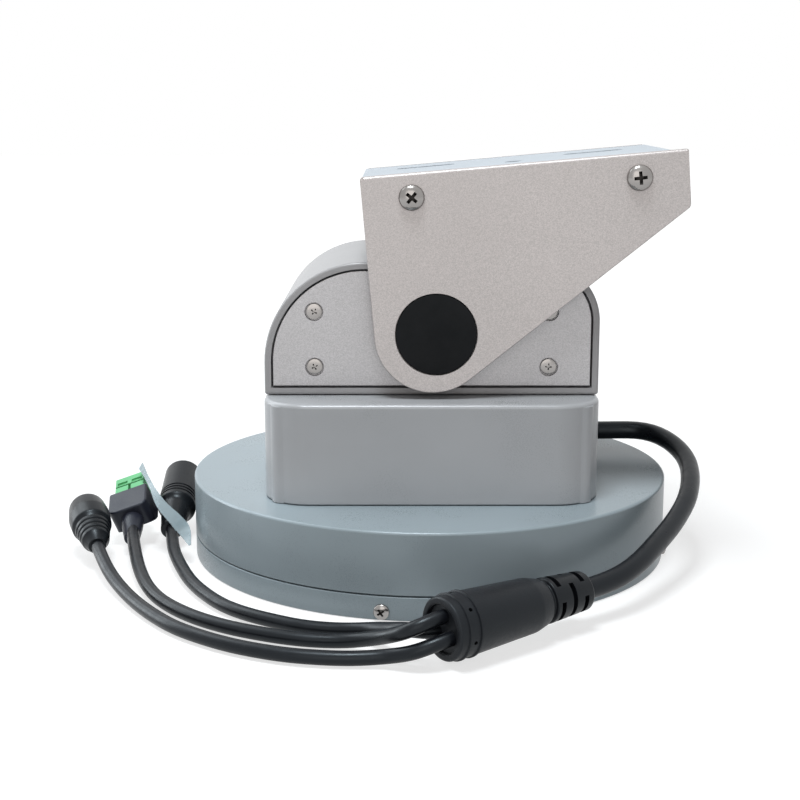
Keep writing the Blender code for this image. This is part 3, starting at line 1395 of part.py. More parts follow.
def make_gland(looks, pan_axis):
    """Build the rubber gland that holds the cable in the housing's right wall."""
    y, z = GLAND_PLACE
    inside = HOUSING_SIDE - HOUSING_WALL - SEAT_GAP
    outside = HOUSING_SIDE + SEAT_GAP
    profile = [
        (0.0, inside - GLAND_FLANGE_THICKNESS),
        (GLAND_FLANGE_RADIUS, inside - GLAND_FLANGE_THICKNESS),
        (GLAND_FLANGE_RADIUS, inside),
        (GLAND_NECK_RADIUS, inside),
        (GLAND_NECK_RADIUS, outside),
        (GLAND_FLANGE_RADIUS, outside),
        (GLAND_FLANGE_RADIUS, outside + GLAND_FLANGE_THICKNESS),
        (GLAND_NECK_RADIUS, outside + GLAND_FLANGE_THICKNESS),
        (GLAND_TIP_RADIUS, GLAND_TIP_X),
        (0.0, GLAND_TIP_X),
    ]
    gland = turned(profile, ROUND_FITTING)
    gland.transform(Matrix.Translation((0.0, y, z)) @ ALONG_X)
    add_object("cable_gland", gland, looks["black_rubber"], pan_axis)


def ribbed_cone(start, end, radius_start, radius_end, grooves):
    """Return profile points of a tapering outside with even grooves."""
    points = []
    pitch = (end - start) / (grooves + 0.5)
    for i in range(grooves):
        for share, depth in ((0.5, 0.0), (0.6, 1.0), (0.9, 1.0), (1.0, 0.0)):
            along = start + pitch * (i + share)
            part = (along - start) / (end - start)
            radius = radius_start + (radius_end - radius_start) * part
            points.append((radius - RELIEF_GROOVE_DEPTH * depth, along))
    return points


def make_splitter(looks, pan_axis):
    """Build the round splitter, open at the end where the leads come out, and its relief."""
    place = turn_between(SPLITTER_START, SPLITTER_END)
    wide = SPLITTER_WIDE_RADIUS
    length = SPLITTER_BODY_LENGTH
    rings = []
    for ring in SPLITTER_RINGS:
        high = wide + SPLITTER_RING_RISE
        rings += [(wide, ring), (high, ring), (high, ring + SPLITTER_RING_WIDTH)]
        rings.append((wide, ring + SPLITTER_RING_WIDTH))
    profile = [
        (0.0, SPLITTER_MOUTH_DEPTH),
        (SPLITTER_MOUTH_RADIUS, SPLITTER_MOUTH_DEPTH),
        (SPLITTER_MOUTH_RADIUS, 0.0),
        (wide, 0.0),
        *rings,
        (SPLITTER_NARROW_RADIUS, length * 0.86),
        (SPLITTER_SHOULDER_RADIUS, length),
        (0.0, length),
    ]
    body = turned(profile, ROUND_FITTING)
    body.transform(place)
    add_object("cable_splitter", body, looks["black_plastic"], pan_axis)
    start = length + SEAT_GAP
    end = (SPLITTER_END - SPLITTER_START).length
    profile = [
        (0.0, start),
        (RELIEF_START_RADIUS, start),
        *ribbed_cone(start, end, RELIEF_START_RADIUS, RELIEF_END_RADIUS, RELIEF_GROOVES),
        (RELIEF_END_RADIUS, end),
        (0.0, end),
    ]
    relief = turned(profile, ROUND_FITTING)
    relief.transform(place)
    add_object("splitter_relief", relief, looks["black_rubber"], pan_axis)


def lead_start(angle):
    """Return the first two points of a lead in the splitter's mouth."""
    place = turn_between(SPLITTER_START, SPLITTER_END)
    x = LEAD_SPREAD * math.cos(angle)
    y = LEAD_SPREAD * math.sin(angle)
    seat = place @ Vector((x, y, SPLITTER_MOUTH_DEPTH - LEAD_END_GAP))
    mouth = place @ Vector((x, y, -SEAT_GAP))
    return [seat, mouth]


def before(tail, nose):
    """Return the point just short of a connector's tail."""
    return tail - (nose - tail).normalized() * LEAD_END_GAP


def make_cords(looks, pan_axis):
    """Build the main cable and the three leads as plain tubes."""
    y, z = GLAND_PLACE
    start = Vector((GLAND_TIP_X + SEAT_GAP, y, z))
    along = Vector((CABLE_DIAMETER, 0.0, 0.0))
    back = (SPLITTER_END - SPLITTER_START).normalized()
    end = SPLITTER_END + back * SEAT_GAP
    route = [start, start + along, *CABLE_ROUTE, end + back * CABLE_DIAMETER, end]
    jacket = looks["cable_jacket"]
    add_cord("main_cable", route, CABLE_DIAMETER, jacket, pan_axis, 2)
    leads = (
        ("power_lead", LEAD_ANGLES[0], POWER_ROUTE, before(POWER_TAIL, POWER_NOSE)),
        ("serial_lead", LEAD_ANGLES[1], SERIAL_ROUTE, before(SERIAL_TAIL, SERIAL_NOSE)),
        ("network_lead", LEAD_ANGLES[2], NETWORK_ROUTE, before(NETWORK_TAIL, NETWORK_NOSE)),
    )
    for name, angle, middle, last in leads:
        route = [*lead_start(angle), *middle, last]
        add_cord(name, route, LEAD_DIAMETER, jacket, pan_axis, 2)


def make_connectors(looks, pan_axis):
    """Build the connectors on the three leads and the film tag."""
    length = (POWER_NOSE - POWER_TAIL).length
    ribs = ribbed_cone(length * 0.10, length * 0.38, POWER_TAIL_RADIUS, POWER_RADIUS, POWER_RIBS)
    profile = [
        (0.0, 0.0),
        (POWER_TAIL_RADIUS, 0.0),
        *ribs,
        (POWER_RADIUS, length * 0.50),
        (POWER_RADIUS, length * 0.68),
        (POWER_RADIUS * 0.93, length * 0.84),
        (POWER_RADIUS * 0.72, length * 0.95),
        (POWER_RADIUS * 0.55, length),
        (POWER_SOCKET_RADIUS, length),
        (POWER_SOCKET_RADIUS, length - POWER_SOCKET_DEPTH),
        (0.0, length - POWER_SOCKET_DEPTH),
    ]
    jack = turned(profile, ROUND_FITTING)
    jack.transform(turn_between(POWER_TAIL, POWER_NOSE))
    add_object("power_connector", jack, looks["black_rubber"], pan_axis)
    make_serial(looks, pan_axis)

    axis = NETWORK_NOSE - NETWORK_TAIL
    length = axis.length
    relief = NETWORK_RELIEF_LENGTH
    step = (NETWORK_RADIUS + NETWORK_TAIL_RADIUS) / 2
    ribs = ribbed_cone(relief, relief * 1.4, NETWORK_RADIUS, NETWORK_RADIUS, NETWORK_RIBS)
    profile = [
        (0.0, 0.0),
        (NETWORK_TAIL_RADIUS, 0.0),
        (step, relief * 0.9),
        (NETWORK_RADIUS, relief),
        *ribs,
        (NETWORK_RADIUS, length * 0.85),
        (NETWORK_RADIUS * 0.94, length),
        (0.0, length),
    ]
    place = turn_between(NETWORK_TAIL, NETWORK_NOSE)
    body = turned(profile, ROUND_FITTING)
    body.transform(place)
    network = add_object("network_connector", body, looks["black_rubber"], pan_axis)
    width, height, depth = NETWORK_SOCKET
    low = (-width / 2, -height / 2, length - depth)
    high = (width / 2, height / 2, length + depth)
    socket = block(low, high)
    socket.transform(place)
    cut(network, socket)
    make_tag(looks, pan_axis)


def lead_frame(tail, nose):
    """Return a frame at a tail with Y along the nose, X level and Z upwards."""
    along = (nose - tail).normalized()
    level = along.cross(Vector((0.0, 0.0, 1.0))).normalized()
    up = level.cross(along)
    turn = Matrix((level, along, up)).transposed().to_4x4()
    return Matrix.Translation(tail) @ turn


def make_serial(looks, pan_axis):
    """Build the square block on the middle lead and the two pole plug in its end."""
    frame = lead_frame(SERIAL_TAIL, SERIAL_NOSE) @ Matrix.Rotation(SERIAL_ROLL, 4, "Y")
    length = (SERIAL_NOSE - SERIAL_TAIL).length
    x = SERIAL_WIDTH / 2
    z = SERIAL_HEIGHT / 2
    shape = block((-x, 0.0, -z), (x, length, z))
    bmesh.ops.bevel(
        shape,
        geom=shape.edges[:],
        offset=SERIAL_EDGE,
        offset_type="OFFSET",
        segments=2,
        profile=0.5,
        affect="EDGES",
    )
    shape.transform(frame)
    add_object("serial_block", shape, looks["grey_plastic"], pan_axis)
    start = length + SEAT_GAP
    end = start + PLUG_LENGTH
    x = PLUG_WIDTH / 2
    z = PLUG_HEIGHT / 2
    side = [
        (start, -z),
        (end - PLUG_STEP, -z),
        (end, -z + PLUG_STEP),
        (end, z),
        (start + PLUG_STEP, z),
        (start + PLUG_STEP, z - PLUG_STEP / 2),
        (start, z - PLUG_STEP / 2),
    ]
    shape = extruded([side], -x, x, "X")
    shape.transform(frame)
    plug = add_object("terminal_plug", shape, looks["green_plastic"], pan_axis)
    holes = bmesh.new()
    for x_side in (-1, 1):
        low = (x_side * x / 2, end - PLUG_STEP, z - PLUG_STEP)
        high = (x_side * x / 2, end - PLUG_STEP, z + PLUG_STEP)
        absorb(holes, rod(low, high, PLUG_HOLE_RADIUS), frame)
    cut(plug, holes)


def make_tag(looks, pan_axis):
    """Build the thin film tag as one twisted strip."""
    shape = bmesh.new()
    points = [Vector(point) for point in TAG_ROUTE]
    rows = []
    for i, point in enumerate(points):
        ahead = points[min(i + 1, len(points) - 1)]
        behind = points[max(i - 1, 0)]
        along = (ahead - behind).normalized()
        level = along.cross(Vector((0.0, 0.0, 1.0))).normalized()
        across = Matrix.Rotation(TAG_TURN[i], 3, along) @ level
        normal = along.cross(across)
        row = []
        for x, z in ((-1, -1), (1, -1), (1, 1), (-1, 1)):
            offset = across * (x * TAG_WIDTH / 2) + normal * (z * TAG_THICKNESS / 2)
            row.append(shape.verts.new(point + offset))
        rows.append(row)
    for first, second in zip(rows, rows[1:]):
        for i in range(4):
            shape.faces.new((first[i - 1], first[i], second[i], second[i - 1]))
    shape.faces.new(rows[0])
    shape.faces.new(rows[-1])
    add_object("cable_tag", shape, looks["clear_film"], pan_axis)


def main():
    """Build the whole mount."""
    clear_scene()
    looks = make_finishes()
    pan_axis = add_axis("pan_axis", (0.0, 0.0, 0.0))
    tilt_axis = add_axis("tilt_axis", (TILT_AXIS_X, 0.0, TILT_AXIS_Z), REST_TILT, pan_axis)
    make_base(looks)
    make_turntable(looks, pan_axis)
    make_housing(looks, pan_axis)
    make_arch(looks, pan_axis)
    make_motors(looks, pan_axis)

    lift = PAN_RING_HEIGHT + (PAN_RING_FACE - PAN_PINION_FACE) / 2
    pinion_axis = add_axis("pan_pinion_axis", (PAN_MOTOR_X, PAN_MOTOR_Y, lift), 0.0, pan_axis)
    phase = PAN_MOTOR_AZIMUTH + math.pi + math.pi / PAN_PINION_TEETH
    shaft_end = HOUSING_BOTTOM + MOTOR_SHAFT_DEPTH - SEAT_GAP - lift
    make_pinion(
        "pan_pinion",
        PAN_PINION_TEETH,
        PAN_MODULE,
        PAN_PINION_FACE,
        phase,
        PAN_SHAFT_RADIUS,
        shaft_end,
        looks,
        pinion_axis,
    )
    far = TILT_GEAR_START + TILT_GEAR_FACE
    spin_axis = add_axis("tilt_pinion_axis", (TILT_AXIS_X, far, TILT_MOTOR_Z), 0.0, pan_axis)
    spin_axis.rotation_euler = (math.radians(90.0), 0.0, 0.0)
    phase = math.radians(90.0) + math.pi / TILT_PINION_TEETH
    shaft_end = far - TILT_MOTOR_FACE + MOTOR_SHAFT_DEPTH - SEAT_GAP
    make_pinion(
        "tilt_pinion",
        TILT_PINION_TEETH,
        TILT_MODULE,
        TILT_GEAR_FACE,
        phase,
        TILT_SHAFT_RADIUS,
        shaft_end,
        looks,
        spin_axis,
    )
    make_cradle(looks, tilt_axis)
    make_gland(looks, pan_axis)
    make_splitter(looks, pan_axis)
    make_cords(looks, pan_axis)
    make_connectors(looks, pan_axis)


main()
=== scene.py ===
"""Looks of a motorized pan tilt mount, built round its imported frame.

The base stands on the floor with its centre at the origin, and the front looks along -Y. Every
size is in metres. Each class below holds one sub-assembly: its sizes, its shapes and its finishes.
"""

import sys

import logging
import math
from dataclasses import dataclass
from enum import Enum
from typing import Callable, Iterable, Optional, Sequence

import bmesh
import bpy
from mathutils import Matrix, Vector

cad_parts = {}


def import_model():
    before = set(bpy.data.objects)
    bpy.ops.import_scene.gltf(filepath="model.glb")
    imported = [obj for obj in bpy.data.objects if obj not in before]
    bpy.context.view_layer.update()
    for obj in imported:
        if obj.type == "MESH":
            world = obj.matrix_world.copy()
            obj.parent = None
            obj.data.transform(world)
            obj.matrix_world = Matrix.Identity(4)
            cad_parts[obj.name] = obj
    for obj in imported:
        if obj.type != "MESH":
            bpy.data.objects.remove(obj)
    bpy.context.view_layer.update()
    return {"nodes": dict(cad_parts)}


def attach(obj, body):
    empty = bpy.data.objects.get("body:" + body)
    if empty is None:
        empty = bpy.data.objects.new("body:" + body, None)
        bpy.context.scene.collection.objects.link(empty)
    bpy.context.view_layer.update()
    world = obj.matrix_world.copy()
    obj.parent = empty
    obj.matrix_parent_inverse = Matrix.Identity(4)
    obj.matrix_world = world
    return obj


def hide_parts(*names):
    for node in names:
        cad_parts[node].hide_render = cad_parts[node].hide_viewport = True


log = logging.getLogger("mount")

Piece = bpy.types.Object
Socket = bpy.types.NodeSocket
Profile = list[tuple[float, float]]
Triple = tuple[float, float, float]
Place = Triple
Colour = Triple
Ends = tuple[Place, Place]
Corners = Sequence[Triple]
PlaceTest = Callable[[Vector, Vector], bool]

# How far one straight piece of an arc turns
FACET = math.radians(7.5)
FINE_FACET = math.radians(5.0)
# Points nearer than MERGE become one, and places nearer than CLOSE count as the same
MERGE = 1e-6
CLOSE = 2e-5
SMOOTH_ANGLE = math.radians(32.0)
# Steps between two route points, and how often the whole line is evened out
ROUTE_STEPS = 16
SMOOTHING = 4
# The range in which most values of a noise lie, and of two noises added up
ONE_NOISE = (0.3, 0.7)
TWO_NOISES = (0.7, 1.3)
WHITE = (1.0, 1.0, 1.0, 1.0)
ALONG_X = Matrix.Rotation(math.radians(90.0), 4, "Y")
ALONG_Y = Matrix.Rotation(math.radians(-90.0), 4, "X")
ALONG_MINUS_Y = Matrix.Rotation(math.radians(90.0), 4, "X")


class Cut(Enum):
    """What a tool does to the piece it meets."""

    AWAY = "DIFFERENCE"
    JOIN = "UNION"


class Body(Enum):
    """The moving bodies of the frame."""

    BASE = "base"
    TURRET = "turret"
    CRADLE = "cradle"


class Side(Enum):
    """The two ends of the tilt axis."""

    FRONT = -1
    REAR = 1

    @property
    def turn(self) -> Matrix:
        """Return the turn that points local Z out of this side."""
        return ALONG_Y if self is Side.REAR else ALONG_MINUS_Y


class Look(Enum):
    """The finishes of the mount."""

    DISC = "disc_paint"
    SHELL = "shell_paint"
    BODY = "body_paint"
    SILVER = "grained_silver"
    PANEL = "grained_panel"
    PLATE = "grained_plate"
    NICKEL = "nickel_screw"
    STEEL = "ground_steel"
    BRASS = "machined_brass"
    CAP = "cap_plastic"
    RUBBER = "black_rubber"
    MOULDED = "moulded_black"
    JACKET = "cable_jacket"
    BLOCK = "block_plastic"
    GREEN = "plug_green"
    BOARD = "solder_mask"
    FILM = "tag_film"
    # Painted shade: a dark finish on the cross faces stands in for the shade inside the screw
    # recesses
    RECESS_SHADE = "screw_recess"


# Modelling


def lay_down() -> None:
    """Leave edit mode and deselect everything."""
    if bpy.context.mode != "OBJECT":
        bpy.ops.object.mode_set(mode="OBJECT")
    bpy.ops.object.select_all(action="DESELECT")


def take_up(piece: Piece) -> None:
    """Make one piece the only selected and active one.

    Args:
        piece: The piece to work on.
    """
    lay_down()
    piece.select_set(True)
    bpy.context.view_layer.objects.active = piece


def edit(piece: Piece, kind: str) -> None:
    """Open a piece for editing with nothing selected.

    Args:
        piece: The piece to shape.
        kind: The select mode, which is VERT, EDGE or FACE.
    """
    take_up(piece)
    bpy.ops.object.mode_set(mode="EDIT")
    bpy.ops.mesh.select_mode(type=kind)
    bpy.ops.mesh.select_all(action="DESELECT")


def pick_edges(piece: Piece, test: PlaceTest) -> int:
    """Select the edges of the open piece whose two ends pass a test.

    Args:
        piece: The piece that is open for editing.
        test: Takes the places of the two ends.

    Returns:
        How many edges were selected.
    """
    shape = bmesh.from_edit_mesh(piece.data)
    found = 0
    for edge in shape.edges:
        edge.select = test(edge.verts[0].co, edge.verts[1].co)
        found += edge.select
    shape.select_flush_mode()
    bmesh.update_edit_mesh(piece.data)
    return found


def pick_faces(piece: Piece, test: PlaceTest) -> int:
    """Select the faces of the open piece whose centre and normal pass a test.

    Args:
        piece: The piece that is open for editing.
        test: Takes a face's middle and its normal.

    Returns:
        How many faces were selected.
    """
    shape = bmesh.from_edit_mesh(piece.data)
    found = 0
    for face in shape.faces:
        face.select = test(face.calc_center_median(), face.normal)
        found += face.select
    shape.select_flush_mode()
    bmesh.update_edit_mesh(piece.data)
    return found


def round_line(corners: Corners, facet: float = FACET) -> Profile:
    """Return a closed line whose corners are replaced by arcs.

    Args:
        corners: The corners as (x, y, radius); a radius of 0 keeps the corner sharp.
        facet: The turn of one straight piece of an arc.

    Returns:
        The points of the line.
    """
    line: Profile = []
    count = len(corners)
    for i, (x, y, radius) in enumerate(corners):
        if radius <= 0.0:
            line.append((x, y))
            continue
        corner = Vector((x, y))
        back = (Vector(corners[i - 1][:2]) - corner).normalized()
        ahead = (Vector(corners[(i + 1) % count][:2]) - corner).normalized()
        half = back.angle(ahead) / 2
        centre = corner + (back + ahead).normalized() * (radius / math.sin(half))
        start = corner + back * (radius / math.tan(half)) - centre
        sweep = math.pi - 2 * half
        steps = max(2, math.ceil(sweep / facet))
        if back.x * ahead.y - back.y * ahead.x > 0:
            sweep = -sweep
        for step in range(steps + 1):
            point = centre + Matrix.Rotation(sweep * step / steps, 2) @ start
            if not line or math.dist(line[-1], point) > CLOSE:
                line.append((point.x, point.y))
    return line


def draw_line(name: str, points: Sequence[Vector], closed: bool) -> Piece:
    """Draw a line by pulling one point along, and leave it open for editing.

    Args:
        name: The name of the new piece.
        points: The places that the line goes through.
        closed: Whether the last point is joined to the first.

    Returns:
        The new piece, with all of the line selected.
    """
    lay_down()
    bpy.ops.mesh.primitive_plane_add(size=MERGE * 100)
    piece = bpy.context.active_object
    piece.name = name
    piece.data.name = name
    bpy.ops.object.mode_set(mode="EDIT")
    bpy.ops.mesh.select_mode(type="VERT")
    bpy.ops.mesh.select_all(action="SELECT")
    bpy.ops.mesh.merge(type="CENTER")
    bpy.ops.transform.translate(value=points[0])
    for last, point in zip(points, points[1:]):
        bpy.ops.mesh.extrude_vertices_move(TRANSFORM_OT_translate={"value": point - last})
    if closed:
        shape = bmesh.from_edit_mesh(piece.data)
        for vertex in shape.verts:
            vertex.select = len(vertex.link_edges) == 1
        shape.select_flush_mode()
        bmesh.update_edit_mesh(piece.data)
        bpy.ops.mesh.edge_face_add()
    bpy.ops.mesh.select_all(action="SELECT")
    return piece


def settle(piece: Piece, place: Optional[Matrix] = None) -> Piece:
    """Merge doubles, point the faces outward and apply the piece's place.

    Args:
        piece: The piece, in edit mode or not.
        place: Where the piece goes, or None to leave it.

    Returns:
        The same piece.
    """
    if bpy.context.mode != "OBJECT":
        bpy.ops.object.mode_set(mode="OBJECT")
    edit(piece, "VERT")
    bpy.ops.mesh.select_all(action="SELECT")
    bpy.ops.mesh.remove_doubles(threshold=MERGE)
    bpy.ops.mesh.normals_make_consistent(inside=False)
    bpy.ops.object.mode_set(mode="OBJECT")
    if place is not None:
        piece.matrix_world = place @ piece.matrix_world
    bpy.ops.object.transform_apply(location=True, rotation=True, scale=True)
    return piece


def turn_shape(
    name: str, profile: Profile, steps: int = 96, place: Optional[Matrix] = None
) -> Piece:
    """Turn a piece on the lathe: draw its profile and spin it round Z.

    Args:
        name: The name of the piece.
        profile: Points of (radius, height), closed unless its ends lie on the axis.
        steps: How many facets go round.
        place: Where the piece goes.

    Returns:
        The new piece.
    """
    on_axis = profile[0][0] < CLOSE and profile[-1][0] < CLOSE
    points = [Vector((radius, 0.0, height)) for radius, height in profile]
    piece = draw_line(name, points, closed=not on_axis)
    bpy.ops.mesh.spin(
        steps=steps,
        angle=2 * math.pi,
        center=(0.0, 0.0, 0.0),
        axis=(0.0, 0.0, 1.0),
        use_auto_merge=True,
    )
    return settle(piece, place)


def rod_shape(
    name: str, radius: float, ends: tuple[float, float], steps: int, place: Optional[Matrix] = None
) -> Piece:
    """Turn a plain rod, as a pin or as the tool for a round hole.

    Args:
        name: The name of the piece.
        radius: Its radius.
        ends: Its lowest and highest Z.
        steps: How many facets go round.
        place: Where the rod goes.

    Returns:
        The rod.
    """
    low, high = ends
    line = [(0.0, low), (radius, low), (radius, high), (0.0, high)]
    return turn_shape(name, line, steps, place)


def press_shape(name: str, line: Profile, low: float, high: float, across: str = "Z") -> Piece:
    """Draw a flat outline, fill it and pull it to a thickness.

    Args:
        name: The name of the piece.
        line: The outline's points.
        low: Where the plate starts.
        high: Where it ends.
        across: The axis through the plate: Z for an outline in X and Y, Y for one in X and Z,
            X for one in Y and Z.

    Returns:
        The new piece.
    """
    places = {
        "Z": lambda x, y: Vector((x, y, low)),
        "Y": lambda x, y: Vector((x, low, y)),
        "X": lambda x, y: Vector((low, x, y)),
    }
    pulls = {"Z": (0, 0, high - low), "Y": (0, high - low, 0), "X": (high - low, 0, 0)}
    piece = draw_line(name, [places[across](x, y) for x, y in line], closed=True)
    bpy.ops.mesh.edge_face_add()
    bpy.ops.mesh.extrude_region_move(TRANSFORM_OT_translate={"value": pulls[across]})
    return settle(piece)


def block_shape(name: str, low: Sequence[float], high: Sequence[float]) -> Piece:
    """Add a block between two corners, as the start of a piece.

    Args:
        name: The name of the piece.
        low: Its corner with the lowest X, Y and Z.
        high: Its corner with the highest X, Y and Z.

    Returns:
        The block.
    """
    lay_down()
    start, end = Vector(low), Vector(high)
    bpy.ops.mesh.primitive_cube_add(size=1.0, location=(start + end) / 2)
    piece = bpy.context.active_object
    piece.name = name
    piece.data.name = name
    piece.scale = end - start
    return settle(piece)


def upright(start: Vector, end: Vector) -> bool:
    """Tell whether an edge runs up or down."""
    return abs(start.z - end.z) > CLOSE


def ease_edges(piece: Piece, width: float, segments: int, test: PlaceTest) -> None:
    """Round the edges that pass a test.

    Args:
        piece: The piece to shape.
        width: How far the round reaches from the edge.
        segments: How many faces make the round.
        test: Takes the places of an edge's two ends.
    """
    edit(piece, "EDGE")
    found = pick_edges(piece, test)
    if found:
        bpy.ops.mesh.bevel(offset=width, offset_type="OFFSET", segments=segments, profile=0.5)
    else:
        log.warning("%s: no edge to round", piece.name)
    settle(piece)


def carve(piece: Piece, tool: Piece, how: Cut = Cut.AWAY) -> None:
    """Cut a tool out of a piece, or join it on, and remove the tool.

    Args:
        piece: The piece that is worked on.
        tool: The other piece.
        how: What the tool does.
    """
    take_up(piece)
    boolean = piece.modifiers.new("carve", "BOOLEAN")
    boolean.operation = how.value
    boolean.solver = "EXACT"
    boolean.object = tool
    bpy.ops.object.modifier_apply(modifier=boolean.name)
    bpy.data.objects.remove(tool)


def gather(pieces: Iterable[Piece]) -> Piece:
    """Join separate pieces into one object and return it.

    Args:
        pieces: The pieces, the first of which gives the name.

    Returns:
        The joined piece.
    """
    every = list(pieces)
    lay_down()
    for piece in every:
        piece.select_set(True)
    bpy.context.view_layer.objects.active = every[0]
    bpy.ops.object.join()
    return bpy.context.active_object


def copy_of(piece: Piece, name: str, place: Matrix) -> Piece:
    """Copy a piece with a mesh of its own and put it in place.

    Args:
        piece: The piece to copy.
        name: The name of the copy.
        place: Where the copy goes.

    Returns:
        The copy.
    """
    take_up(piece)
    bpy.ops.object.duplicate()
    made = bpy.context.active_object
    made.name = name
    made.data.name = name
    made.matrix_world = place
    bpy.ops.object.transform_apply(location=True, rotation=True, scale=True)
    return made


def stand_on(start: Sequence[float], end: Sequence[float]) -> Matrix:
    """Return the place that stands local Z on the line from start to end.

    Args:
        start: Where local Z starts.
        end: What it points at.

    Returns:
        The place.
    """
    direction = Vector(end) - Vector(start)
    turn = direction.to_track_quat("Z", "Y").to_matrix().to_4x4()
    return Matrix.Translation(Vector(start)) @ turn


def on_side(side: Side, x: float, z: float, out: float = 0.0) -> Matrix:
    """Return the place at x and z, so far out on a side, with local Z pointing out of it."""
    return Matrix.Translation((x, side.value * out, z)) @ side.turn


def ring_of(count: int, radius: float, height: float, turn: float = 0.0) -> list[Vector]:
    """Return points spread evenly round a circle about Z.

    Args:
        count: How many points there are.
        radius: The circle's radius.
        height: The points' Z.
        turn: The angle of the first.

    Returns:
        The points.
    """
    step = 2 * math.pi / count
    angles = [turn + step * i for i in range(count)]
    return [Vector((radius * math.cos(a), radius * math.sin(a), height)) for a in angles]


def dome(radius: float, low: float, high: float, steps: int = 8) -> Profile:
    """Return the profile of a dome that rises from a rim to the axis."""
    angles = [math.pi / 2 * step / steps for step in range(steps + 1)]
    return [(radius * math.cos(a), low + (high - low) * math.sin(a)) for a in angles]


# Finishes


class Palette:
    """Makes each finish once and dresses pieces with it."""

    def __init__(self) -> None:
        """Start with no finish made."""
        self.made: dict[Look, bpy.types.Material] = {}

    def material(self, look: Look) -> bpy.types.Material:
        """Return the material of a look, making it the first time.

        Args:
            look: The look.

        Returns:
            Its material.
        """
        if look not in self.made:
            self.made[look] = FINISHES[look].make(look.value)
        return self.made[look]

    def dress(self, piece: Piece, look: Look, inlay: Optional[Look] = None) -> None:
        """Give a piece one finish, and its marked faces the inlay's if there is one.

        Args:
            piece: The piece.
            look: Its finish.
            inlay: The finish of its marked faces.
        """
        marks = [face.material_index for face in piece.data.polygons] if inlay else []
        piece.data.materials.clear()
        piece.data.materials.append(self.material(look))
        if inlay:
            piece.data.materials.append(self.material(inlay))
            for face, mark in zip(piece.data.polygons, marks):
                face.material_index = mark

    def dress_node(self, node: Piece, look: Look) -> None:
        """Give a CAD node a finish through its own material slots.

        Args:
            node: The CAD node.
            look: Its finish.
        """
        for slot in node.material_slots:
            slot.material = self.material(look)
        if not node.material_slots:
            node.data.materials.append(self.material(look))


def math_of(tree: bpy.types.NodeTree, operation: str, first: Socket, second: Socket) -> Socket:
    """Combine two values with a math node.

    Args:
        tree: The tree that gets the node.
        operation: What the node does.
        first: The first value.
        second: The second value.

    Returns:
        The result.
    """
    node = tree.nodes.new("ShaderNodeMath")
    node.operation = operation
    tree.links.new(first, node.inputs[0])
    tree.links.new(second, node.inputs[1])
    return node.outputs["Value"]


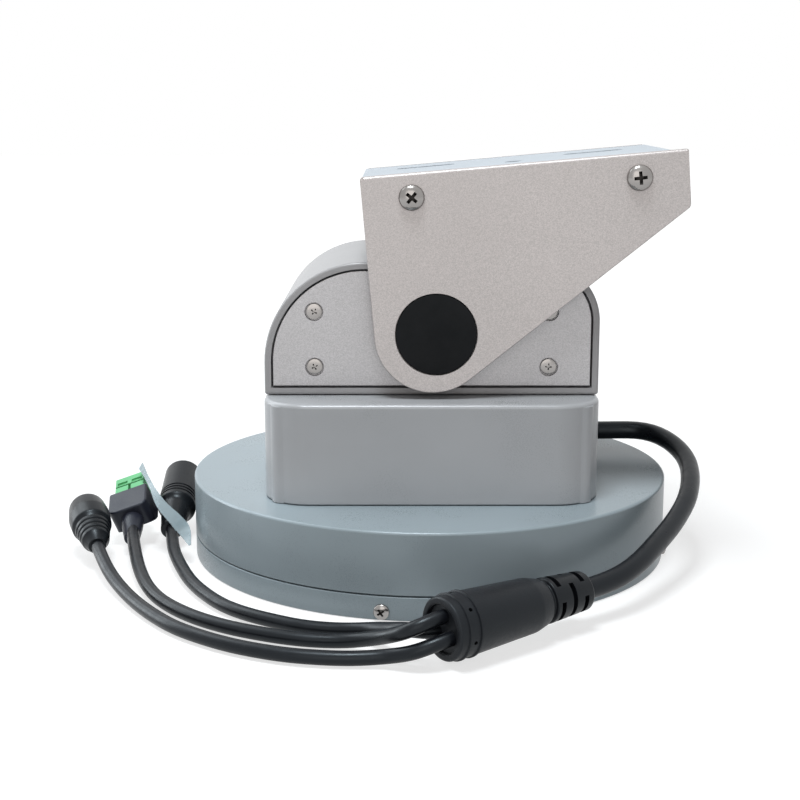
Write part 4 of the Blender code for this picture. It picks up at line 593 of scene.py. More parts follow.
class Nodes:
    """Adds shader nodes to one new material and links them."""

    def __init__(self, name: str) -> None:
        """Start a material with a Principled shader and object coordinates.

        Args:
            name: The name of the material.
        """
        self.material = bpy.data.materials.new(name)
        self.material.use_nodes = True
        self.tree = self.material.node_tree
        self.shader = self.tree.nodes["Principled BSDF"]
        self.place = self.tree.nodes.new("ShaderNodeTexCoord").outputs["Object"]

    def add(self, kind: str, **values: object) -> bpy.types.Node:
        """Add a node and set its input values by name, with spaces as underscores.

        Args:
            kind: The type of the node.
            values: Its input values.

        Returns:
            The node.
        """
        node = self.tree.nodes.new(kind)
        for name, value in values.items():
            node.inputs[name.replace("_", " ")].default_value = value
        return node

    def link(self, output: Socket, target: Socket) -> None:
        """Link an output to an input."""
        self.tree.links.new(output, target)

    def constant(self, **values: object) -> None:
        """Set constant values straight on the shader's own sockets."""
        for name, value in values.items():
            self.shader.inputs[name.replace("_", " ")].default_value = value

    def stretch(self, scale: Sequence[float]) -> Socket:
        """Return object coordinates drawn out along the axes.

        Args:
            scale: The cells' share along each axis.

        Returns:
            The coordinates.
        """
        mapping = self.add("ShaderNodeMapping")
        mapping.inputs["Scale"].default_value = scale
        self.link(self.place, mapping.inputs["Vector"])
        return mapping.outputs["Vector"]

    def noise(
        self,
        scale: float,
        detail: float = 4.0,
        roughness: float = 0.55,
        along: Optional[Socket] = None,
    ) -> Socket:
        """Return a noise value at so many cells per metre.

        Args:
            scale: Cells per metre.
            detail: How many finer layers there are.
            roughness: How strong the finer layers are.
            along: The coordinates, or None for the object's own.

        Returns:
            The value.
        """
        node = self.add("ShaderNodeTexNoise", Scale=scale, Detail=detail, Roughness=roughness)
        self.link(along or self.place, node.inputs["Vector"])
        return node.outputs["Fac"]

    def cells(self, scale: float) -> Socket:
        """Return a random grey for each small cell, so many per metre.

        Args:
            scale: Cells per metre.

        Returns:
            The grey.
        """
        node = self.add("ShaderNodeTexVoronoi", Scale=scale)
        self.link(self.place, node.inputs["Vector"])
        split = self.add("ShaderNodeSeparateColor")
        self.link(node.outputs["Color"], split.inputs["Color"])
        return split.outputs["Red"]

    def spread(
        self, value: Socket, low: float, high: float, inside: tuple[float, float]
    ) -> Socket:
        """Map a value from inside its own range to low and high.

        Args:
            value: The value.
            low: What the start of its range becomes.
            high: What the end of its range becomes.
            inside: Its range.

        Returns:
            The mapped value.
        """
        ends = {"From_Min": inside[0], "From_Max": inside[1], "To_Min": low, "To_Max": high}
        node = self.add("ShaderNodeMapRange", **ends)
        self.link(value, node.inputs["Value"])
        return node.outputs["Result"]

    def combine(self, operation: str, first: Socket, second: Socket) -> Socket:
        """Combine two values with a math operation."""
        return math_of(self.tree, operation, first, second)

    def blend(self, value: Socket, dark: Sequence[float], light: Sequence[float]) -> None:
        """Colour the surface between dark and light by a value from 0 to 1.

        Args:
            value: The pattern.
            dark: The colour at 0.
            light: The colour at 1.
        """
        ramp = self.tree.nodes.new("ShaderNodeValToRGB")
        ramp.color_ramp.elements[0].color = (*dark, 1.0)
        ramp.color_ramp.elements[1].color = (*light, 1.0)
        self.link(value, ramp.inputs["Fac"])
        self.link(ramp.outputs["Color"], self.shader.inputs["Base Color"])

    def tone(
        self,
        value: Socket,
        colour: Sequence[float],
        shades: tuple[float, float],
        inside: tuple[float, float] = ONE_NOISE,
    ) -> None:
        """Colour the surface in shades of one colour, spread by a pattern.

        Args:
            value: The pattern.
            colour: The plain colour.
            shades: The darkest and the lightest shade, where 1 is the plain colour.
            inside: The range of the pattern's own values.
        """
        even = self.spread(value, 0.0, 1.0, inside)
        self.blend(even, shade(colour, shades[0]), shade(colour, shades[1]))

    def gloss(
        self, value: Socket, low: float, high: float, inside: tuple[float, float] = ONE_NOISE
    ) -> None:
        """Let the roughness run from low to high with a pattern."""
        self.link(self.spread(value, low, high, inside), self.shader.inputs["Roughness"])

    def bump(self, height: Socket, strength: float, distance: float) -> None:
        """Raise the surface by a height pattern.

        Args:
            height: The pattern.
            strength: How strongly it shows.
            distance: How high it stands.
        """
        node = self.add("ShaderNodeBump", Strength=strength, Distance=distance)
        self.link(height, node.inputs["Height"])
        self.link(node.outputs["Normal"], self.shader.inputs["Normal"])


def shade(colour: Sequence[float], factor: float) -> Colour:
    """Return a colour made darker or lighter by a factor."""
    return tuple(min(1.0, channel * factor) for channel in colour)


@dataclass(frozen=True)
class Finish:
    """What every finish has: a colour, and a way to lay itself on."""

    colour: Colour

    def make(self, name: str) -> bpy.types.Material:
        """Make the finish as a new material.

        Args:
            name: The name of the material.

        Returns:
            The material.
        """
        nodes = Nodes(name)
        self.lay_on(nodes)
        return nodes.material

    def lay_on(self, nodes: Nodes) -> None:
        """Add the nodes of the finish, which each kind does in its own way."""
        raise NotImplementedError


@dataclass(frozen=True)
class SatinPaint(Finish):
    """Smooth satin paint over cast metal, with faint clouding and a soft orange peel."""

    roughness: float = 0.34
    metallic: float = 0.08
    clouding: float = 0.05
    peel: float = 0.06
    specular: float = 0.25

    def lay_on(self, nodes: Nodes) -> None:
        """Lay on clouded paint with an even gloss.

        Args:
            nodes: The nodes of the new material.
        """
        clouds = nodes.noise(28.0, 3.0)
        grain = nodes.noise(2600.0, 2.0, 0.6)
        mixed = nodes.combine("ADD", clouds, nodes.noise(9.0, 2.0))
        nodes.tone(mixed, self.colour, (1 - self.clouding, 1 + self.clouding), TWO_NOISES)
        worn = nodes.combine("ADD", grain, clouds)
        nodes.gloss(worn, self.roughness - 0.05, self.roughness + 0.05, TWO_NOISES)
        nodes.bump(grain, self.peel, 0.0001)
        nodes.constant(Metallic=self.metallic, Specular_IOR_Level=self.specular)


@dataclass(frozen=True)
class GrainedSilver(Finish):
    """Fine blasted silver coating whose small flakes catch the light one by one."""

    flake: float = 3600.0
    speckle_range: tuple[float, float] = (0.9, 2.1)
    contrast: float = 0.10
    roughness: float = 0.42
    metallic: float = 0.5

    def lay_on(self, nodes: Nodes) -> None:
        """Lay on flakes and pits that catch the light.

        Args:
            nodes: The nodes of the new material.
        """
        flakes = nodes.cells(self.flake)
        pits = nodes.noise(self.flake * 0.8, 3.0, 0.65)
        clouds = nodes.noise(9.0, 2.0)
        speckle = nodes.combine("ADD", flakes, pits)
        speckle = nodes.combine("ADD", speckle, clouds)
        shades = (1 - self.contrast, 1 + self.contrast)
        nodes.tone(speckle, self.colour, shades, self.speckle_range)
        nodes.gloss(flakes, self.roughness - 0.08, self.roughness + 0.10, (0.0, 1.0))
        nodes.bump(nodes.combine("ADD", pits, flakes), 0.12, 0.00012)
        nodes.constant(Metallic=self.metallic)


@dataclass(frozen=True)
class WorkedMetal(Finish):
    """Bare or plated metal with fine tool marks along one axis."""

    roughness: float
    marks: Triple = (1.0, 1.0, 12.0)
    depth: float = 0.05

    def lay_on(self, nodes: Nodes) -> None:
        """Lay on bare metal with tool marks and smudges.

        Args:
            nodes: The nodes of the new material.
        """
        lines = nodes.noise(420.0, 4.0, 0.6, along=nodes.stretch(self.marks))
        smudge = nodes.noise(90.0, 3.0)
        nodes.tone(smudge, self.colour, (0.90, 1.06))
        nodes.gloss(lines, self.roughness - 0.06, self.roughness + 0.08)
        nodes.bump(lines, self.depth, 0.00008)
        nodes.constant(Metallic=1.0)


@dataclass(frozen=True)
class MouldedPlastic(Finish):
    """Moulded plastic or rubber with a fine eroded grain, a few duller patches and a painted cool
    tint on its reflections.
    """

    roughness: float
    grain: float = 1800.0
    depth: float = 0.10
    patches: float = 0.12
    specular: float = 0.5
    painted_cool_reflection: Colour = (0.84, 0.94, 1.0)

    def lay_on(self, nodes: Nodes) -> None:
        """Lay on plastic with its grain, duller patches and painted cool reflection tint.

        Args:
            nodes: The nodes of the new material.
        """
        grain = nodes.noise(self.grain, 3.0, 0.6)
        patches = nodes.noise(110.0, 4.0, 0.6)
        nodes.tone(patches, self.colour, (1 - self.patches, 1 + self.patches))
        worn = nodes.combine("ADD", grain, patches)
        nodes.gloss(worn, self.roughness - 0.07, self.roughness + 0.09, TWO_NOISES)
        nodes.bump(grain, self.depth, 0.0001)
        # Painted light: the cool specular tint stands in for the cool light that the reflections
        # show
        nodes.constant(Specular_IOR_Level=self.specular, Specular_Tint=(*self.painted_cool_reflection, 1.0))


@dataclass(frozen=True)
class CircuitBoard(Finish):
    """Solder mask over copper, with pads and tracks that show as a lighter net."""

    copper: Colour = (0.10, 0.30, 0.14)

    def lay_on(self, nodes: Nodes) -> None:
        """Lay on solder mask with the copper under it.

        Args:
            nodes: The nodes of the new material.
        """
        net = nodes.add("ShaderNodeTexBrick", Scale=160.0, Mortar_Size=0.03)
        nodes.link(nodes.place, net.inputs["Vector"])
        grain = nodes.noise(900.0, 2.0)
        nodes.blend(net.outputs["Fac"], self.colour, self.copper)
        nodes.gloss(grain, 0.25, 0.45)
        nodes.bump(net.outputs["Fac"], 0.2, 0.00005)


@dataclass(frozen=True)
class ThinFilm(Finish):
    """Pale plastic film with a soft gloss and faint creases across it."""

    clearness: float = 0.25

    def lay_on(self, nodes: Nodes) -> None:
        """Lay on film with creases across it.

        Args:
            nodes: The nodes of the new material.
        """
        creases = nodes.noise(90.0, 3.0, 0.6, along=nodes.stretch((1.0, 0.3, 1.0)))
        nodes.tone(creases, self.colour, (0.90, 1.08))
        nodes.gloss(creases, 0.18, 0.34)
        nodes.bump(creases, 0.25, 0.0002)
        nodes.constant(Transmission_Weight=self.clearness)


FINISHES = {
    Look.DISC: SatinPaint((0.305, 0.362, 0.392), roughness=0.30),
    Look.BODY: SatinPaint((0.41, 0.418, 0.432), roughness=0.30),
    Look.SHELL: SatinPaint((0.365, 0.36, 0.365), roughness=0.34),
    Look.SILVER: GrainedSilver((0.485, 0.452, 0.442), contrast=0.20),
    Look.PANEL: GrainedSilver((0.465, 0.455, 0.462), contrast=0.20),
    Look.PLATE: GrainedSilver((0.44, 0.49, 0.54), contrast=0.16, metallic=0.3),
    Look.NICKEL: WorkedMetal((0.31, 0.295, 0.285), 0.20, depth=0.03),
    # The recess finish is painted shade: near-black metal on the cross faces, where the recess
    # lies in shade
    Look.RECESS_SHADE: WorkedMetal((0.05, 0.045, 0.042), 0.6),
    Look.STEEL: WorkedMetal((0.52, 0.52, 0.53), 0.34),
    Look.BRASS: WorkedMetal((0.62, 0.45, 0.20), 0.32),
    Look.CAP: MouldedPlastic(
        (0.009, 0.009, 0.0095), 0.62, depth=0.05, patches=0.35, specular=0.12
    ),
    Look.RUBBER: MouldedPlastic((0.005, 0.0055, 0.007), 0.32, depth=0.04, specular=0.25),
    Look.MOULDED: MouldedPlastic(
        (0.010, 0.011, 0.0135), 0.40, 1100.0, depth=0.45, specular=0.24
    ),
    Look.JACKET: MouldedPlastic(
        (0.004, 0.0045, 0.0065), 0.34, 300.0, depth=0.001, specular=0.28
    ),
    Look.BLOCK: MouldedPlastic((0.017, 0.018, 0.028), 0.40, depth=0.08, specular=0.35),
    Look.GREEN: MouldedPlastic((0.17, 0.50, 0.24), 0.5, depth=0.05, patches=0.08, specular=0.15),
    Look.BOARD: CircuitBoard((0.02, 0.14, 0.06)),
    Look.FILM: ThinFilm((0.42, 0.52, 0.56), clearness=0.45),
}


class Workshop:
    """Hands finished pieces over to the frame: finish, body and CAD node."""

    def __init__(self, palette: Palette) -> None:
        """Keep the palette that pieces are dressed from."""
        self.palette = palette
        self.count = 0

    def hand_over(
        self,
        piece: Piece,
        look: Look,
        body: Body,
        replaced: Sequence[str] = (),
        weighted: bool = False,
        inlay: Optional[Look] = None,
    ) -> Piece:
        """Smooth, dress and attach a finished piece.

        Args:
            piece: The finished piece.
            look: Its finish.
            body: The body that it moves with.
            replaced: The CAD nodes that it stands for.
            weighted: Whether large faces keep their shading flat next to their rounds.
            inlay: The finish of the faces that the piece marks, if it marks any.

        Returns:
            The same piece.
        """
        if piece.type == "MESH":
            take_up(piece)
            bpy.ops.object.shade_smooth_by_angle(angle=SMOOTH_ANGLE)
            if weighted:
                modifier = piece.modifiers.new("even_shading", "WEIGHTED_NORMAL")
                modifier.keep_sharp = True
                modifier.weight = 100
                bpy.ops.object.modifier_apply(modifier=modifier.name)
        self.palette.dress(piece, look, inlay)
        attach(piece, body.value)
        if replaced:
            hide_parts(*replaced)
        self.count += 1
        faces = len(piece.data.polygons) if piece.type == "MESH" else 0
        log.info("%s: %s on %s, %d faces", piece.name, look.value, body.value, faces)
        return piece


# Sub-assemblies


@dataclass(frozen=True)
class CrossScrew:
    """A pan head screw with a cross recess, standing on z = 0."""

    head_radius: float
    head_height: float
    shank_radius: float
    shank_length: float
    skirt_share: float = 0.30
    recess_width: float = 0.30
    recess_reach: float = 0.66
    recess_depth: float = 0.62
    recess_taper: Triple = (0.45, 0.6, 1.0)

    def model(self, name: str) -> Piece:
        """Model the screw by turning it and sinking the cross into its head.

        Args:
            name: The name of the piece.

        Returns:
            The screw, with its head's seat at z = 0.
        """
        rim = self.head_height * self.skirt_share
        profile = [
            (0.0, -self.shank_length),
            (self.shank_radius * 0.8, -self.shank_length),
            (self.shank_radius, -self.shank_length + self.shank_radius * 0.3),
            (self.shank_radius, 0.0),
            (self.head_radius * 0.96, 0.0),
            (self.head_radius, rim * 0.4),
            *dome(self.head_radius, rim, self.head_height, 10),
        ]
        screw = turn_shape(name, profile, 48)
        carve(screw, self.cross(name + "_cross"))
        self.mark_recess(screw, rim)
        return screw

    def drive(
        self, shop: Workshop, name: str, body: Body, places: Iterable[Matrix], twist: float
    ) -> None:
        """Model the screw once and hand over a copy of it at each place.

        Args:
            shop: Takes the finished pieces.
            name: The name of the screws' CAD nodes, without the number.
            body: The body that they are on.
            places: The seats of the heads, with local Z along the screw.
            twist: How far each screw is turned past the one before.
        """
        screw = self.model(name + "_model")
        for number, place in enumerate(places, 1):
            spun = place @ Matrix.Rotation(twist * number, 4, "Z")
            copy = copy_of(screw, f"{name}_head_{number}", spun)
            nodes = [f"{name}_{number}"]
            # The cross faces get the dark recess finish, which is a painted shade
            shop.hand_over(copy, Look.NICKEL, body, nodes, inlay=Look.RECESS_SHADE)
        bpy.data.objects.remove(screw)

    def mark_recess(self, screw: Piece, rim: float) -> None:
        """Mark the faces of the cross, which lie under the dome's surface, for the recess's
        painted shade.

        Args:
            screw: The screw.
            rim: Where the head's dome starts.
        """
        for _ in range(2):
            screw.data.materials.append(None)
        edit(screw, "FACE")
        found = pick_faces(
            screw,
            lambda middle, normal: middle.z > rim * 0.5
            and math.hypot(middle.x, middle.y) < self.head_radius * 0.9
            and middle.z < self.dome_height(math.hypot(middle.x, middle.y), rim) * 0.93,
        )
        if not found:
            log.warning("%s: no cross", screw.name)
        screw.active_material_index = 1
        bpy.ops.object.material_slot_assign()
        lay_down()

    def dome_height(self, radius: float, rim: float) -> float:
        """Return how high the dome stands at a radius."""
        share = math.sqrt(max(0.0, 1 - (radius / self.head_radius) ** 2))
        return rim + (self.head_height - rim) * share

    def cross(self, name: str) -> Piece:
        """Return the tool for the cross: two tapering bars joined at right angles.

        Args:
            name: The name of the tool.

        Returns:
            The tool.
        """
        reach = self.head_radius * self.recess_reach
        half = self.head_radius * self.recess_width / 2
        floor = self.head_height * (1 - self.recess_depth)
        top = self.head_height * 1.3
        bars = []
        for number in range(2):
            bar = block_shape(f"{name}_{number}", (-reach, -half, floor), (reach, half, top))
            edit(bar, "FACE")
            pick_faces(bar, lambda middle, normal: normal.z < -0.5)
            bpy.ops.transform.resize(value=self.recess_taper)
            turn = Matrix.Rotation(math.pi / 2 * number, 4, "Z")
            bars.append(settle(bar, turn))
        carve(bars[0], bars[1], Cut.JOIN)
        return bars[0]


@dataclass
class Base:
    """The fixed ring that stands on the floor, with its side screws."""

    radius: float = 0.095
    height: float = 0.0088
    wall: float = 0.004
    edge: float = 0.0006
    screw_count: int = 4
    screw_height: float = 0.0033
    screw_turn: float = math.radians(-101.1)
    screw_twist: float = 0.6

    def build(self, shop: Workshop) -> None:
        """Model the skirt and its screws.

        Args:
            shop: Takes the finished pieces.
        """
        inner = self.radius - self.wall
        line = round_line(
            [
                (inner, 0.0, 0.0),
                (self.radius, 0.0, self.edge),
                (self.radius, self.height, self.edge / 3),
                (inner, self.height, self.edge / 3),
            ],
            math.radians(22.5),
        )
        skirt = turn_shape("skirt_ring", line, 192)
        shop.hand_over(skirt, Look.DISC, Body.BASE, ["base_skirt"])
        places = []
        for spot in ring_of(self.screw_count, 1.0, 0.0, self.screw_turn):
            seat = spot * (self.radius - self.edge / 6) + Vector((0.0, 0.0, self.screw_height))
            places.append(stand_on(seat, seat + spot))
        screw = CrossScrew(
            head_radius=0.0029, head_height=0.0019, shank_radius=0.0015, shank_length=0.0070
        )
        screw.drive(shop, "skirt_screw", Body.BASE, places, self.screw_twist)


@dataclass
class Turntable:
    """The turning disc."""

    radius: float = 0.095
    bottom: float = 0.0094
    top: float = 0.0325
    wall: float = 0.004
    deck: float = 0.004
    edge: float = 0.0011
    hub_bore: float = 0.0274
    hub_outer: float = 0.0316
    hub_bottom: float = 0.0193
    lip_bottom: float = 0.0274
    lip: float = 0.0028
    motor_place: tuple[float, float] = (-0.037123, 0.037123)
    motor_hole: float = 0.0103

    def build(self, shop: Workshop) -> None:
        """Model the disc in one turned piece, hollow below, with the pan motor's hole.

        Args:
            shop: Takes the finished pieces.
        """
        under = self.top - self.deck
        line = round_line(
            [
                (self.hub_bore - self.lip, self.top, 0.0),
                (self.hub_bore - self.lip, self.lip_bottom, 0.0),
                (self.hub_bore, self.lip_bottom, 0.0),
                (self.hub_bore, self.hub_bottom, 0.0),
                (self.hub_outer, self.hub_bottom, 0.0),
                (self.hub_outer, under, 0.0),
                (self.radius - self.wall, under, 0.0005),
                (self.radius - self.wall, self.bottom, 0.0),
                (self.radius, self.bottom, 0.0003),
                (self.radius, self.top, self.edge),
            ],
            math.radians(15.0),
        )
        disc = turn_shape("turning_disc", line, 192)
        through = (under - self.deck, self.top + self.deck)
        spot = Matrix.Translation((*self.motor_place, 0.0))
        carve(disc, rod_shape("motor_hole", self.motor_hole, through, 48, spot))
        shop.hand_over(
            disc, Look.DISC, Body.TURRET, ["turntable"], weighted=True
        )


@dataclass
class Housing:
    """The square body between the disc and the arch."""

    width: float = 0.125
    depth: float = 0.1222
    bottom: float = 0.0328
    top: float = 0.0705
    corner: float = 0.017
    wall: float = 0.003
    edge: float = 0.0017
    foot_edge: float = 0.0006
    opening: Triple = (0.096, 0.070, 0.0085)
    post_radius: float = 0.0045
    gland_place: tuple[float, float] = (0.0256, 0.0413)
    gland_hole: float = 0.0063

    def round_box(
        self, name: str, width: float, depth: float, heights: tuple[float, float], corner: float
    ) -> Piece:
        """Return a block with its upright edges rounded.

        Args:
            name: The name of the piece.
            width: Its size along X.
            depth: Its size along Y.
            heights: Its lowest and highest Z.
            corner: The radius of its upright edges.

        Returns:
            The block.
        """
        low = (-width / 2, -depth / 2, heights[0])
        high = (width / 2, depth / 2, heights[1])
        box = block_shape(name, low, high)
        ease_edges(box, corner, 20, upright)
        return box

    def build(self, shop: Workshop) -> None:
        """Model the body as an open case with corner posts.

        Args:
            shop: Takes the finished pieces.
        """
        case = self.round_box(
            "body_case", self.width, self.depth, (self.bottom, self.top), self.corner
        )
        ease_edges(case, self.edge, 4, lambda a, b: min(a.z, b.z) > self.top - CLOSE)
        ease_edges(case, self.foot_edge, 3, lambda a, b: max(a.z, b.z) < self.bottom + CLOSE)
        ceiling = self.top - self.wall
        inner = self.round_box(
            "case_hollow",
            self.width - 2 * self.wall,
            self.depth - 2 * self.wall,
            (self.bottom - self.wall, ceiling),
            self.corner - self.wall,
        )
        carve(case, inner)
        width, depth, corner = self.opening
        through = (ceiling - self.wall, self.top + self.wall)
        carve(case, self.round_box("case_opening", width, depth, through, corner))
        inset = self.wall + self.post_radius
        for x_side in (-1, 1):
            for y_side in (-1, 1):
                x = x_side * (self.width / 2 - inset)
                y = y_side * (self.depth / 2 - inset)
                spot = Matrix.Translation((x, y, 0.0))
                ends = (self.bottom, ceiling + self.wall / 2)
                post = rod_shape("case_post", self.post_radius, ends, 24, spot)
                carve(case, post, Cut.JOIN)
        reach = (self.width / 2 - 2 * self.wall, self.width / 2 + self.wall)
        spot = Matrix.Translation((0.0, *self.gland_place)) @ ALONG_X
        carve(case, rod_shape("gland_hole", self.gland_hole, reach, 48, spot))
        shop.hand_over(
            case, Look.BODY, Body.TURRET, ["body_housing"], weighted=True
        )


@dataclass
class Arch:
    """The arched tilt housing with its two covers and their screws."""

    width: float = 0.125
    depth: float = 0.087
    bottom: float = 0.0708
    top: float = 0.1205
    left_radius: float = 0.0375
    right_radius: float = 0.0223
    foot_radius: float = 0.001
    wall: float = 0.0025
    lip: float = 0.003
    lip_face: float = 0.0387
    lip_depth: float = 0.002
    edge: float = 0.0010
    cover_gap: float = 0.0007
    cover_face: float = 0.0432
    cover_thickness: float = 0.0025
    cover_edge: float = 0.0004
    opening: Triple = (0.096, 0.070, 0.0085)
    screw_spread: float = 0.0437
    screw_heights: tuple[float, float] = (0.0813, 0.1021)
    screw_hole: float = 0.0035
    screw_sink: float = 0.0017
    axis: tuple[float, float] = (0.0015, 0.0948)
    bush_bore: float = 0.0063
    bush_radius: float = 0.0093
    bush_flange: float = 0.012
    bush_flange_thickness: float = 0.0014
    bush_length: float = 0.008
    post_radius: float = 0.0032
    thread_hole: float = 0.0018
    rim_sink: float = 0.00025
    rim_spread: float = 0.00035
    play: float = 0.0003
    screw_twist: float = 0.5

    def slab(self, name: str, inset: float, low: float, high: float) -> Piece:
        """Return an arch shaped slab, drawn in by an inset, from low to high along Y.

        Args:
            name: The name of the piece.
            inset: How far the outline is drawn in.
            low: Its lowest Y.
            high: Its highest Y.

        Returns:
            The slab.
        """
        x = self.width / 2 - inset
        foot = max(self.foot_radius - inset, 0.0003)
        line = round_line(
            [
                (-x, self.bottom + inset, foot),
                (x, self.bottom + inset, foot),
                (x, self.top - inset, self.right_radius - inset),
                (-x, self.top - inset, self.left_radius - inset),
            ],
            math.radians(4.0),
        )
        return press_shape(name, line, low, high, "Y")

    def build(self, shop: Workshop) -> None:
        """Model the shell, then each cover with its bush and screws.

        Args:
            shop: Takes the finished pieces.
        """
        half = self.depth / 2
        shell = self.slab("tilt_shell", 0.0, -half, half)
        ease_edges(shell, self.edge, 4, lambda a, b: min(a.y, b.y) > half - CLOSE)
        ease_edges(shell, self.edge, 4, lambda a, b: max(a.y, b.y) < CLOSE - half)
        carve(shell, self.slab("shell_hole", self.wall + self.lip, -2 * half, 2 * half))
        behind = self.lip_face - self.lip_depth
        carve(shell, self.slab("shell_hollow", self.wall, -behind, behind))
        carve(shell, self.slab("shell_rear_seat", self.wall, self.lip_face, 2 * half))
        carve(shell, self.slab("shell_front_seat", self.wall, -2 * half, -self.lip_face))
        width, depth, corner = self.opening
        floor = block_shape(
            "shell_opening",
            (-width / 2, -depth / 2, self.bottom - self.wall),
            (width / 2, depth / 2, self.bottom + 2 * self.wall),
        )
        ease_edges(floor, corner, 12, upright)
        carve(shell, floor)
        shop.hand_over(
            shell, Look.SHELL, Body.TURRET, ["arch_shell"], weighted=True
        )
        for side in Side:
            self.build_cover(shop, side)
            self.build_bush(shop, side)
        self.build_screws(shop)

    def build_cover(self, shop: Workshop, side: Side) -> None:
        """Model one cover with its bush hole, and in front its screw holes.

        Args:
            shop: Takes the finished pieces.
            side: The end of the tilt axis.
        """
        back = self.cover_face - self.cover_thickness
        low, high = sorted((side.value * back, side.value * self.cover_face))
        name = side.name.lower()
        cover = self.slab(name + "_cover_plate", self.wall + self.cover_gap, low, high)
        face = side.value * self.cover_face
        ease_edges(
            cover,
            self.cover_edge,
            2,
            lambda a, b: abs(a.y - face) < CLOSE and abs(b.y - face) < CLOSE,
        )
        beyond = self.cover_face + self.cover_thickness
        under = back - self.cover_thickness
        bore = self.bush_radius + self.play
        carve(cover, rod_shape("bush_hole", bore, (under, beyond), 64, on_side(side, *self.axis)))
        sink = self.cover_face - self.screw_sink
        for x, z in self.screw_spots():
            place = on_side(side, x, z)
            if side is Side.FRONT:
                line = [
                    (0.0, under),
                    (self.thread_hole, under),
                    (self.thread_hole, sink),
                    (self.screw_hole, sink),
                    (self.screw_hole, self.cover_face - self.rim_sink),
                    (self.screw_hole + self.rim_spread, beyond),
                    (0.0, beyond),
                ]
                carve(cover, turn_shape("screw_hole", line, 40, place))
            else:
                front_end = self.play - back
                seat = back + self.cover_thickness / 2
                line = [
                    (self.thread_hole, front_end),
                    (self.post_radius, front_end),
                    (self.post_radius, seat),
                    (self.thread_hole, seat),
                ]
                carve(cover, turn_shape("cover_post", line, 24, place), Cut.JOIN)
        shop.hand_over(
            cover, Look.PANEL, Body.TURRET, [name + "_cover"], weighted=True
        )

    def build_bush(self, shop: Workshop, side: Side) -> None:
        """Model the flanged bush in one cover.

        Args:
            shop: Takes the finished pieces.
            side: The end of the tilt axis.
        """
        flange = self.cover_face + 0.0001
        face = flange + self.bush_flange_thickness
        line = round_line(
            [
                (self.bush_bore, face - self.bush_length, 0.0),
                (self.bush_radius, face - self.bush_length, 0.0),
                (self.bush_radius, flange, 0.0),
                (self.bush_flange, flange, 0.0),
                (self.bush_flange, face, 0.0004),
                (self.bush_bore, face, 0.0),
            ]
        )
        name = side.name.lower()
        bush = turn_shape(name + "_tilt_bush", line, 64, on_side(side, *self.axis))
        shop.hand_over(bush, Look.BRASS, Body.TURRET, [name + "_bush"])

    def screw_spots(self) -> list[tuple[float, float]]:
        """Return the places of the cover screws in X and Z, in the frame's order."""
        return [(side * self.screw_spread, z) for side in (-1, 1) for z in self.screw_heights]

    def build_screws(self, shop: Workshop) -> None:
        """Model the four flush screws of the front cover.

        Args:
            shop: Takes the finished pieces.
        """
        screw = CrossScrew(
            head_radius=0.0030,
            head_height=0.0014,
            shank_radius=0.0015,
            shank_length=0.0060,
            skirt_share=0.78,
            recess_width=0.20,
            recess_reach=0.5,
        )
        seat = self.cover_face - self.screw_sink
        places = [on_side(Side.FRONT, x, z, seat) for x, z in self.screw_spots()]
        screw.drive(shop, "cover_screw", Body.TURRET, places, self.screw_twist)


